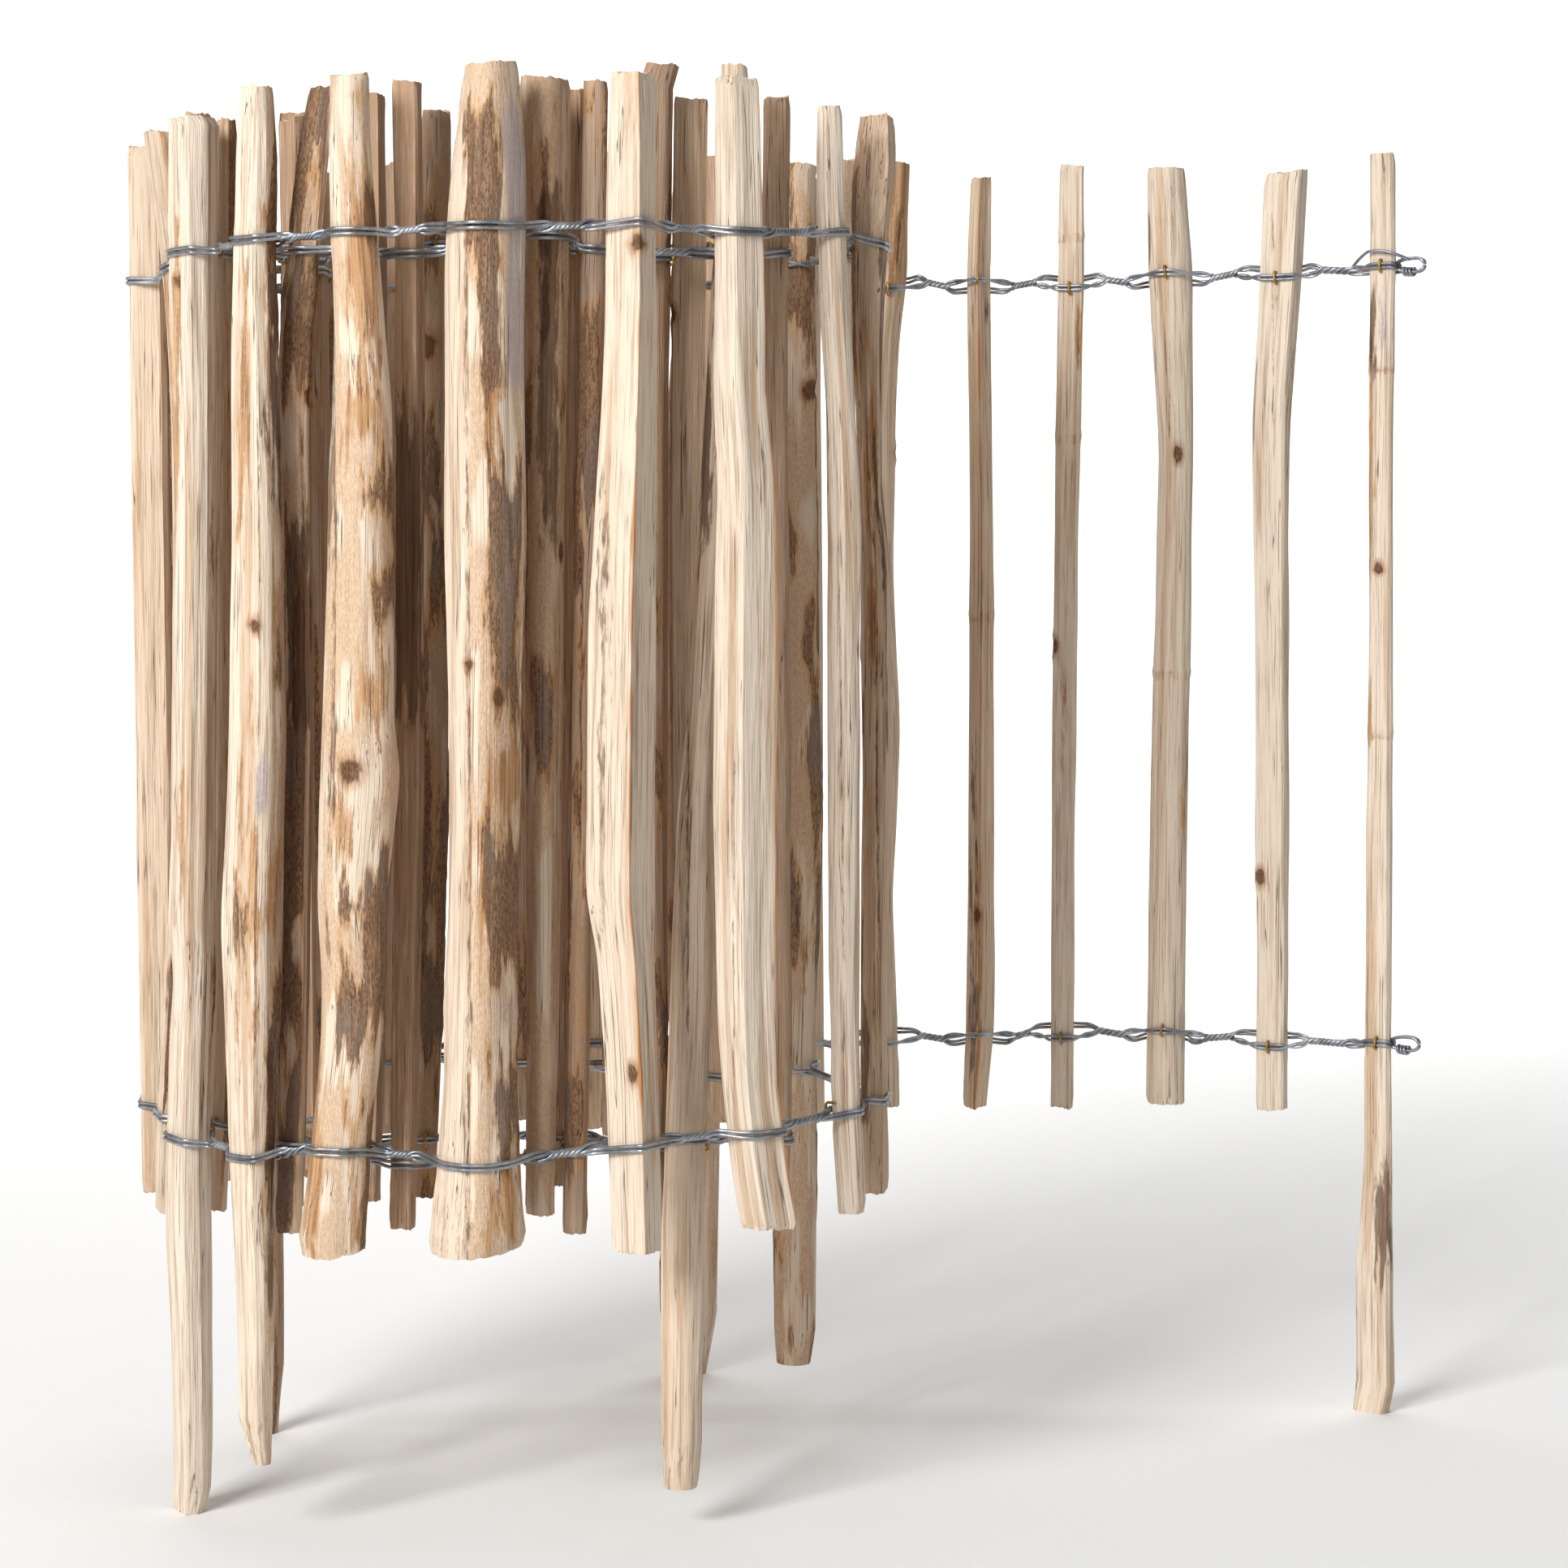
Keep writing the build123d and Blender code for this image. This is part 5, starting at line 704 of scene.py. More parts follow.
# how much bark is left on the round side
BARK = {"end_stake": 0.1, "pale_01": 0.15, "pale_02": 0.2, "pale_03": 0.1, "pale_04": 0.25, "pale_05": 0.15,
    "pale_14": 0.3, "stake_02": 0.15, "stake_03": 0.3, "pale_15": 0.2, "pale_16": 0.25, "pale_17": 0.0,
    "pale_18": 0.0, "pale_19": 0.1, "pale_20": 0.35, "stake_04": 0.45, "pale_30": 0.7, "pale_31": 0.7,
    "pale_38": 0.6, "pale_35": 0.6}
PLAIN = {"end_stake", "pale_01", "pale_02", "pale_03", "pale_04", "pale_05", "pale_15", "pale_16", "pale_17",
    "pale_18", "pale_19", "stake_02", "stake_06"}
FINE = {"end_stake", "pale_01", "pale_02", "pale_03", "pale_04", "pale_05", "pale_14", "pale_15", "pale_16",
    "pale_17", "pale_18", "pale_19", "pale_20", "pale_21", "pale_29", "pale_30", "pale_31", "pale_32",
    "pale_33", "pale_34", "pale_35", "pale_36", "pale_38", "stake_02", "stake_03", "stake_04", "stake_06"}
# a little wider between the wires than at them
WIDER = {"stake_01": 1.28, "pale_20": 1.18}
# heights of scars round a pale, in mm
SCARS = {"pale_03": [735.9, 608.7], "end_stake": [650.2, 425.2], "pale_04": [494.9], "pale_02": [459.6]}
# split on every side
BARE = {"end_stake", "pale_01", "pale_02", "pale_03", "pale_04", "pale_05", "pale_17", "pale_18", "pale_19",
    "stake_02", "stake_06"}


# ---------------------------------------------------------------- noise on arrays
def hash01(ix, iy, iz):
    h = (ix.astype(np.int64) * 374761393 + iy.astype(np.int64) * 668265263 + iz.astype(np.int64) * 2147483647) & 0xFFFFFFFF
    h = ((h ^ (h >> 13)) * 1274126177) & 0xFFFFFFFF
    h = (h ^ (h >> 16)) & 0xFFFFFFFF
    h = (h * 2654435761) & 0xFFFFFFFF
    return ((h >> 8) & 0xFFFF) / 65535.0


def vnoise(x, y, z):
    """Smooth value noise from -1 to 1 on arrays of coordinates."""
    ix, iy, iz = np.floor(x), np.floor(y), np.floor(z)
    fx, fy, fz = x - ix, y - iy, z - iz
    fx, fy, fz = (f * f * (3 - 2 * f) for f in (fx, fy, fz))
    out = 0
    for a in (0, 1):
        for b in (0, 1):
            for c in (0, 1):
                wgt = (fx if a else 1 - fx) * (fy if b else 1 - fy) * (fz if c else 1 - fz)
                out = out + wgt * hash01(ix + a, iy + b, iz + c)
    return out * 2 - 1


def smooth(a, b, x):
    t = np.clip((x - a) / (b - a), 0, 1)
    return t * t * (3 - 2 * t)


# ---------------------------------------------------------------- mesh helpers
def new_mesh(name, verts, faces, material):
    me = bpy.data.meshes.new(name)
    me.from_pydata([tuple(v) for v in verts], [], faces)
    me.materials.append(material)
    me.polygons.foreach_set("use_smooth", [True] * len(me.polygons))
    me.update()
    ob = bpy.data.objects.new(name, me)
    bpy.context.scene.collection.objects.link(ob)
    return ob


def put(ob, name, values, kind="FLOAT"):
    at = ob.data.attributes.new(name, kind, "POINT")
    if kind == "FLOAT":
        at.data.foreach_set("value", np.asarray(values, np.float32))
    else:
        at.data.foreach_set("vector", np.asarray(values, np.float32).ravel())


def inside_distance(poly, px, pz):
    """Signed distance to a closed outline, positive inside. Lengths along the fibres count for less."""
    poly = [(x, z * 0.2) for x, z in poly]
    pz = pz * 0.2
    best = np.full(len(px), 1e9)
    ins = np.zeros(len(px), bool)
    n = len(poly)
    for i in range(n):
        ax, az = poly[i]
        bx, bz = poly[(i + 1) % n]
        dx, dz = bx - ax, bz - az
        t = np.clip(((px - ax) * dx + (pz - az) * dz) / max(1e-9, dx * dx + dz * dz), 0, 1)
        best = np.minimum(best, np.hypot(px - ax - t * dx, pz - az - t * dz))
        if az != bz:
            cross = ((az > pz) != (bz > pz)) & (px < ax + (pz - az) * dx / dz)
            ins ^= cross
    return np.where(ins, best, -best)


# split corners where a thin line of orange under-bark shows, by outline corner
RIDGE = {"pale_17": 6, "pale_18": 5, "pale_04": 6}
# which corners of each outline lie on the round, once barked, side
ROUND_SIDE = {"S": (6, 7, 0), "H": (1, 2, 3, 4, 5), "B": (2, 3, 4, 5, 6, 7), "W": (0, 1, 2, 3, 4),
              "R": (0, 1, 2, 3, 4, 5, 6, 7), "Q": (1, 2, 3, 4)}


def wood_mesh(index, picket, material, fine):
    name, kind, angle, heights, cut, levels = picket
    seed = index * 13.7 + 3.1
    rng = np.random.default_rng(1000 + index)
    u, v = axes(angle)
    lv = np.array(levels)[::-1]                     # bottom up
    zb, zt = lv[0, 0], lv[-1, 0]
    step = 4.7 if fine else 6.7
    # the ends are sawn or chopped off short, with little taper
    for a, b in ((-1, -2), (0, 1)):
        if a == -1 or zb > 100:
            lv[a, 3:] = np.maximum(lv[a, 3:], 0.95 * lv[b, 3:])
    zs = np.arange(zb, zt, step)
    zs = np.unique(np.concatenate([zs, lv[:, 0], [zb + 1.2, zb + 2.6, zt - 1.2, zt - 2.6, zt - 4.5]]))
    keep = [zs[0]]
    for z in zs[1:]:
        if z - keep[-1] > 0.8:
            keep.append(z)
    keep[-1] = zt
    zs = np.array(keep)
    par = [np.interp(zs, lv[:, 0], lv[:, k]) for k in (1, 2, 3, 4)]
    # soften the kinks between levels, but not at the two ends
    fine_z = np.arange(zb, zt + 1, 1.0)
    g = np.exp(-0.5 * (np.arange(-24, 25) / 9.0) ** 2)
    g /= g.sum()
    for k in range(4):
        f = np.interp(fine_z, lv[:, 0], lv[:, k + 1])
        pad = np.concatenate([np.full(24, f[0]), f, np.full(24, f[-1])])
        sm = np.convolve(pad, g, "valid")
        mix = smooth(0, 1, np.clip(np.minimum(zs - lv[1, 0], lv[-2, 0] - zs) / 16.0, 0, 1))
        par[k] = par[k] * (1 - mix) + np.interp(zs, fine_z, sm) * mix
    X, Y, W, T = par
    if name in WIDER:
        clear = np.ones(len(zs))
        for h in heights:
            clear = np.minimum(clear, smooth(8, 45, np.abs(zs - h)))
        W = W * (1 + (WIDER[name] - 1) * clear)
    # points round the outline, close together at its corners
    ref = np.array(OUTLINES[kind], float)
    wm, tm = np.median(W), np.median(T)
    size = ref * np.array([wm / 2, tm / 2])
    n = len(ref)
    around = 60 if fine else 44
    edge = np.hypot(*(np.roll(size, -1, 0) - size).T)
    per = edge.sum()
    pts, sides = [], []
    rs = set(ROUND_SIDE[kind])
    for i in range(n):
        m = max(2, int(round(around * edge[i] / per)))
        for k in range(m):
            f = k / m
            pts.append(ref[i] * (1 - f) + ref[(i + 1) % n] * f)
            on = i in rs and (i + 1) % n in rs
            if kind == "R":
                on = True
            # distance along the skin from the nearest end of the round side
            sides.append((1 if on else -1, i, f))
    pts = np.array(pts)
    m = len(pts)
    # signed distance along the outline to the border of the round side
    arc = np.zeros(m)
    seg = np.hypot(*((np.roll(pts, -1, 0) - pts) * np.array([wm / 2, tm / 2])).T)
    pos = np.concatenate([[0], np.cumsum(seg)[:-1]])
    flag = np.array([s[0] for s in sides])
    if flag.min() == flag.max():
        arc[:] = 20.0 * flag
    else:
        borders = [pos[i] for i in range(m) if flag[i] != flag[i - 1]]
        for b in range(m):
            d = min(min(abs(pos[b] - q), seg.sum() - abs(pos[b] - q)) for q in borders)
            arc[b] = d * flag[b]
    if name in BARE:
        arc[:] = -20.0
    # rounding of the outline's corners
    free = (flag == 1) & (np.roll(flag, 1) == 1)
    for _ in range(10):
        even = 0.5 * pts + 0.25 * np.roll(pts, 1, 0) + 0.25 * np.roll(pts, -1, 0)
        pts[free] = even[free]
    nz = len(zs)
    a = pts[None, :, 0] * (W[:, None] / 2)
    b = pts[None, :, 1] * (T[:, None] / 2)
    Z = np.repeat(zs[:, None], m, 1)
    lx, ly = a.copy(), b.copy()
    nrm = np.hypot(np.gradient(a, axis=1), np.gradient(b, axis=1)) + 1e-9
    na, nb = np.gradient(b, axis=1) / nrm, -np.gradient(a, axis=1) / nrm
    # wrap the outline's ends for the gradients
    da = (np.roll(a, -1, 1) - np.roll(a, 1, 1))
    db = (np.roll(b, -1, 1) - np.roll(b, 1, 1))
    ln = np.hypot(da, db) + 1e-9
    na, nb = db / ln, -da / ln
    # long fibres and small hollows
    tw = 0.0
    f1 = vnoise(lx / 3.2 + seed, ly / 3.2, Z / 90 + seed)
    f2 = vnoise(lx / 1.5, ly / 1.5 + seed, Z / 45)
    f3 = vnoise(lx / 9 + seed, ly / 9 + seed, Z / 70)
    barky = np.clip(arc, -20, 20)[None, :] + vnoise(lx / 5 + seed, ly / 5, Z / 25) * 2.5
    split = np.where(arc[None, :] < 0, 1.0, 0.45)
    disp = f1 * 0.60 * split + f2 * 0.32 * split + f3 * 0.55
    # world places before the relief, for the named spots
    wx = X[:, None] + u[0] * a + v[0] * b
    wy = Y[:, None] + u[1] * a + v[1] * b
    masks = {k: np.full(Z.shape, -12.0) for k in ("bark", "ochre", "dark", "grey")}
    bare = np.full(Z.shape, -12.0)
    ridge = np.zeros(Z.shape)
    if name in RIDGE:
        at = [b for b in range(m) if sides[b][1] == RIDGE[name] and sides[b][2] == 0][0]
        off = np.minimum(np.abs(pos - pos[at]), seg.sum() - np.abs(pos - pos[at]))[None, :]
        off = np.abs(off + 0.5 * vnoise(Z / 14, Z * 0 + seed, Z * 0))
        ridge = np.exp(-(off / 1.3) ** 2) * (0.75 + 0.25 * vnoise(Z / 22 + seed, Z * 0, Z * 0))
    # broad streaks and blotches, slow along the fibres
    broad = 0.5 + 0.30 * vnoise(lx / 5.2 + seed, ly / 5.2, Z / 150 + seed) + 0.20 * vnoise(lx / 2.4, ly / 2.4 + seed, Z / 80)
    blotch = 0.5 + 0.32 * vnoise(lx / 8 + seed, ly / 8 + 7, Z / 45 + seed) + 0.18 * vnoise(lx / 3.5, ly / 3.5 + seed, Z / 20)
    facing = (u[0] * na + v[0] * nb) * 0 + (u[1] * na + v[1] * nb)      # below 0 looks to the front
    for spot in SPOTS.get(name, ()):
        what, poly = spot
        d = inside_distance(poly, wx.ravel(), Z.ravel()).reshape(Z.shape)
        tongues = (vnoise(lx / 2.6 + seed, ly / 2.6, Z / 34 + seed) * 3.4
                   + vnoise(lx / 6 + seed, ly / 6, Z / 60) * 3.0 + vnoise(lx / 1.6, ly / 1.6 + seed, Z / 12) * 1.3)
        if what == "split":
            d = np.where(facing < 0.6, d + 0.35 * tongues, -12.0)
            bare = np.maximum(bare, np.clip(d, -12, 12))
            continue
        d = np.where(facing < 0.35, d + tongues - 0.8, -12.0)
        masks[what] = np.maximum(masks[what], np.clip(d, -12, 12))
    # chance patches of bark on the round side
    amount = BARK.get(name, rng.uniform(0.15, 0.75))
    chance = vnoise(lx / 13 + seed * 2, ly / 13, Z / 75 + seed) + 0.5 * vnoise(lx / 5, ly / 5 + seed, Z / 30)
    auto = (chance - (0.75 - amount)) * 9.0
    auto = np.where(arc[None, :] > 0, np.minimum(auto, arc[None, :] + 0.5), -12)
    if name not in PLAIN:
        masks["bark"] = np.maximum(masks["bark"], np.clip(auto, -12, 12))
    raised = smooth(-0.5, 1.0, masks["bark"])
    rough = vnoise(lx / 2.4 + seed, ly / 2.4, Z / 5.0) * 0.35 + vnoise(lx / 4, ly / 4 + seed, Z / 14) * 0.4
    disp = disp + raised * (0.55 + rough)
    disp = disp - smooth(-1, 2, masks["dark"]) * 0.25
    # split areas on the round side: long grooves between the fibres
    torn = smooth(-0.5, 1.5, bare)
    disp = disp + torn * (vnoise(lx / 1.2 + seed, ly / 2.0, Z / 110) * 0.55 + vnoise(lx / 2.6, ly / 3.0 + seed, Z / 160) * 0.7 - 0.5)
    for line_pts, depth, half in GROOVES.get(name, ()):
        gz, gx = [q[1] for q in line_pts[::-1]], [q[0] for q in line_pts[::-1]]
        far = np.abs(wx - np.interp(Z, gz, gx) - 0.5 * vnoise(Z / 11, Z * 0 + seed, Z * 0))
        fade = smooth(gz[0] - 2, gz[0] + 22, Z) * smooth(gz[-1] + 2, gz[-1] - 22, Z)
        if gz[0] < zb + 8:
            fade = np.where(Z < zb + 40, 1.0, fade)
        cutting = np.where(facing < 0.3, np.exp(-(far / half) ** 2) * fade, 0)
        disp = disp - depth * cutting
        # painted shade: the groove is also darkened in colour through the dark mask
        masks["dark"] = np.maximum(masks["dark"], np.where(cutting > 0.02, cutting * 3.2 - 2.0, -12))
    # scars where a side shoot sat: a low step all round
    for z0 in SCARS.get(name, ()):
        up = Z - z0 - 0.9 * vnoise(lx / 5 + seed, ly / 5, Z * 0)
        disp = disp + 0.75 * np.exp(-(up / 2.4) ** 2) + 0.25 * smooth(-3, 6, up) * smooth(40, 6, up)
        masks["ochre"] = np.maximum(masks["ochre"], 1.8 - 0.9 * np.abs(up + 1.0))
    # knots: a ring and a hollow, with the fibres bulging round it
    ring = np.zeros(Z.shape)
    for kx, kz, kr in KNOTS.get(name, ()):
        r = np.hypot((wx - kx + 0.5 * vnoise(Z / 3, wx / 3, Z * 0 + seed)) / kr, (Z - kz) / (kr * 1.25))
        r = r * (1 + 0.22 * vnoise(wx / 2.5, Z / 2.5, Z * 0 + seed))
        r = np.where(facing < 0.2, r, 9)
        disp = disp + 0.9 * np.exp(-((r - 1.0) / 0.45) ** 2) - 0.9 * np.exp(-(r / 0.55) ** 2)
        ring = np.maximum(ring, np.clip(1 - r / 1.6, 0, 1))
    for kz, ks in [(rng.uniform(zb + 60, zt - 60), rng.integers(0, m)) for _ in range(int(rng.uniform() < 0.45))]:
        j = np.abs(np.arange(m) - ks)
        j = np.minimum(j, m - j) * per / m
        r = np.hypot(j[None, :] / 4.0, (Z - kz) / 7.0)
        disp = disp + 0.8 * np.exp(-((r - 1.0) / 0.5) ** 2) - 0.4 * np.exp(-(r / 0.6) ** 2)
        ring = np.maximum(ring, np.clip(1 - r / 1.6, 0, 1))
    # keep the wood clear of the wires and staples where they bear on it
    calm = np.ones(Z.shape)
    for h in heights:
        calm = np.minimum(calm, 0.12 + 0.88 * smooth(6.5, 14.0, np.abs(Z - h)))
    disp = np.where(disp > 0, disp * calm, disp * (0.4 + 0.6 * calm))
    ends = np.minimum(smooth(0, 6, Z - zb), smooth(0, 6, zt - Z))
    disp = disp * (0.35 + 0.65 * ends)
    a2, b2 = a + na * disp, b + nb * disp
    # sawn or chopped ends: slope and splinters
    slope_t = cut[0] * (wx - X[:, None]) + cut[1] * (wy - Y[:, None])
    slope_b = slope_t if zb > 100 else slope_t * 0
    near_t = smooth(zt - 14, zt, Z)
    near_b = smooth(zb + 14, zb, Z)
    near_b = np.clip((zb + 14 - Z) / 14, 0, 1)
    frays = vnoise(lx / 1.3 + seed, ly / 1.3, Z * 0 + seed) * 0.9 + vnoise(lx / 4, ly / 4, Z * 0 + seed) * 0.8
    Z2 = Z + near_t * (slope_t + frays) + near_b * (slope_b + frays * (0.8 if zb > 100 else 0.0))
    if zb < 1:
        Z2 = np.maximum(Z2, 0.0)
    px = X[:, None] + u[0] * a2 + v[0] * b2
    py = Y[:, None] + u[1] * a2 + v[1] * b2
    verts = np.stack([px, py, Z2], -1).reshape(-1, 3)
    faces = []
    for k in range(nz - 1):
        o, q = k * m, (k + 1) * m
        for j in range(m):
            j2 = (j + 1) % m
            faces.append((o + j, o + j2, q + j2, q + j))
    base = [lx.ravel(), ly.ravel(), Z.ravel()]
    att = {k: masks[k].ravel() for k in masks}
    att["side"] = np.minimum(np.repeat(arc[None, :], nz, 0), np.clip(-1.5 * bare, -20, 20)).ravel()
    att["ring"] = ring.ravel()
    att["ridge"] = ridge.ravel()
    att["broad"] = broad.ravel()
    att["blotch"] = blotch.ravel()
    att["end"] = np.zeros(nz * m)
    fill = {k: -12.0 if k in masks else 0.0 for k in att}
    fill.update(end=1.0, side=-20.0, broad=0.5, blotch=0.5)
    extra, eloc = [], []
    count = len(verts)
    for top in (True, False):       # end faces drawn in to the middle, with their own rough grain
        r0 = (nz - 1) * m if top else 0
        ring0 = verts[r0:r0 + m]
        k = -1 if top else 0
        loc0 = np.stack([lx[k], ly[k], np.full(m, zt if top else zb)], -1)
        cen, cl = ring0.mean(0), loc0.mean(0)
        prev = np.arange(r0, r0 + m)
        loose = 1.0 if (top or zb > 100) else 0.0
        for s in (0.985, 0.93, 0.72, 0.48, 0.22):
            q = cen + (ring0 - cen) * s
            l = cl + (loc0 - cl) * s
            if s < 0.95:
                q[:, 2] += loose * (0.45 * vnoise(l[:, 0] / 1.6 + seed, l[:, 1] / 1.6, l[:, 0] * 0 + seed)
                                    + 0.3 * vnoise(l[:, 0] / 4 + seed, l[:, 1] / 4, l[:, 0] * 0))
            extra.append(q)
            eloc.append(l)
            now = np.arange(count, count + m)
            count += m
            for j in range(m):
                j2 = (j + 1) % m
                faces.append((prev[j], prev[j2], now[j2], now[j]) if top else (prev[j2], prev[j], now[j], now[j2]))
            prev = now
        extra.append(cen[None])
        eloc.append(cl[None])
        for j in range(m):
            j2 = (j + 1) % m
            faces.append((prev[j], prev[j2], count) if top else (prev[j2], prev[j], count))
        count += 1
    extra, eloc = np.concatenate(extra), np.concatenate(eloc)
    verts = np.concatenate([verts, extra])
    ob = new_mesh("hazel_" + name, verts * MM, [tuple(int(i) for i in f) for f in faces], material)
    loc = np.concatenate([np.stack(base, -1), eloc]) / 10.0
    loc[:, 0] += seed * 1.7
    loc[:, 1] += seed * 0.9
    put(ob, "loc", loc, "FLOAT_VECTOR")
    for key in att:
        put(ob, key, np.concatenate([att[key], np.full(len(extra), fill[key])]))
    # tones above 1 are partly painted shade, for the inner pales that lie in shade in the roll
    tone_and_shade = TONE_AND_SHADE.get(name, rng.uniform(0.2, 0.8))
    put(ob, "tone_and_shade", np.full(len(verts), tone_and_shade))
    # which way round the outline runs decides which way the faces look
    co = verts
    f0 = np.array([f[:3] for f in faces[:m * 4]])
    p0, p1, p2 = co[f0[:, 0]], co[f0[:, 1]], co[f0[:, 2]]
    nn = np.cross(p1 - p0, p2 - p0)
    outw = (p0 + p1 + p2) / 3 - np.array([X[:4].mean(), Y[:4].mean(), 0])
    outw[:, 2] = 0
    nn[:, 2] = 0
    if (nn * outw).sum() < 0:
        ob.data.flip_normals()
    ob.data.set_sharp_from_angle(angle=math.radians(34))
    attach(ob, "root")
    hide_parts(name)
    return ob


# ---------------------------------------------------------------- materials
class Nodes:
    def __init__(self, name):
        self.m = bpy.data.materials.new(name)
        self.m.use_nodes = True
        self.t = self.m.node_tree
        self.t.nodes.clear()
        self.out = self.t.nodes.new("ShaderNodeOutputMaterial")
        self.bsdf = self.t.nodes.new("ShaderNodeBsdfPrincipled")
        self.t.links.new(self.bsdf.outputs[0], self.out.inputs[0])

    def add(self, kind, **props):
        n = self.t.nodes.new(kind)
        for k, val in props.items():
            setattr(n, k, val)
        return n

    def link(self, a, b):
        self.t.links.new(a, b)

    def attr(self, name):
        n = self.add("ShaderNodeAttribute", attribute_name=name, attribute_type="GEOMETRY")
        return n

    def math(self, op, a, b=0.0, clamp=False):
        n = self.add("ShaderNodeMath", operation=op, use_clamp=clamp)
        for i, s in enumerate((a, b)):
            if isinstance(s, (int, float)):
                n.inputs[i].default_value = s
            else:
                self.link(s, n.inputs[i])
        return n.outputs[0]

    def ramp(self, x, lo, hi, to_lo=0.0, to_hi=1.0, soft=True):
        n = self.add("ShaderNodeMapRange", interpolation_type="SMOOTHSTEP" if soft else "LINEAR", clamp=True)
        self.link(x, n.inputs[0])
        for i, val in zip((1, 2, 3, 4), (lo, hi, to_lo, to_hi)):
            n.inputs[i].default_value = val
        return n.outputs[0]

    def noise(self, vec, scale, detail=3.0, rough=0.55, stretch=(1, 1, 1), shift=(0, 0, 0), warp=0.0):
        mp = self.add("ShaderNodeMapping")
        mp.inputs["Scale"].default_value = stretch
        mp.inputs["Location"].default_value = shift
        self.link(vec, mp.inputs["Vector"])
        n = self.add("ShaderNodeTexNoise")
        n.inputs["Scale"].default_value = scale
        n.inputs["Detail"].default_value = detail
        n.inputs["Roughness"].default_value = rough
        n.inputs["Distortion"].default_value = warp
        self.link(mp.outputs[0], n.inputs["Vector"])
        return n.outputs[0]

    def mix(self, fac, a, b, blend="MIX"):
        n = self.add("ShaderNodeMix", data_type="RGBA", blend_type=blend, clamp_factor=True)
        if isinstance(fac, (int, float)):
            n.inputs[0].default_value = fac
        else:
            self.link(fac, n.inputs[0])
        for i, s in ((6, a), (7, b)):
            if isinstance(s, tuple):
                n.inputs[i].default_value = s + (1.0,) if len(s) == 3 else s
            else:
                self.link(s, n.inputs[i])
        return n.outputs[2]


def srgb(r, g, b):
    def f(c):
        c /= 255.0
        return c / 12.92 if c <= 0.04045 else ((c + 0.055) / 1.055) ** 2.4
    return (f(r), f(g), f(b))


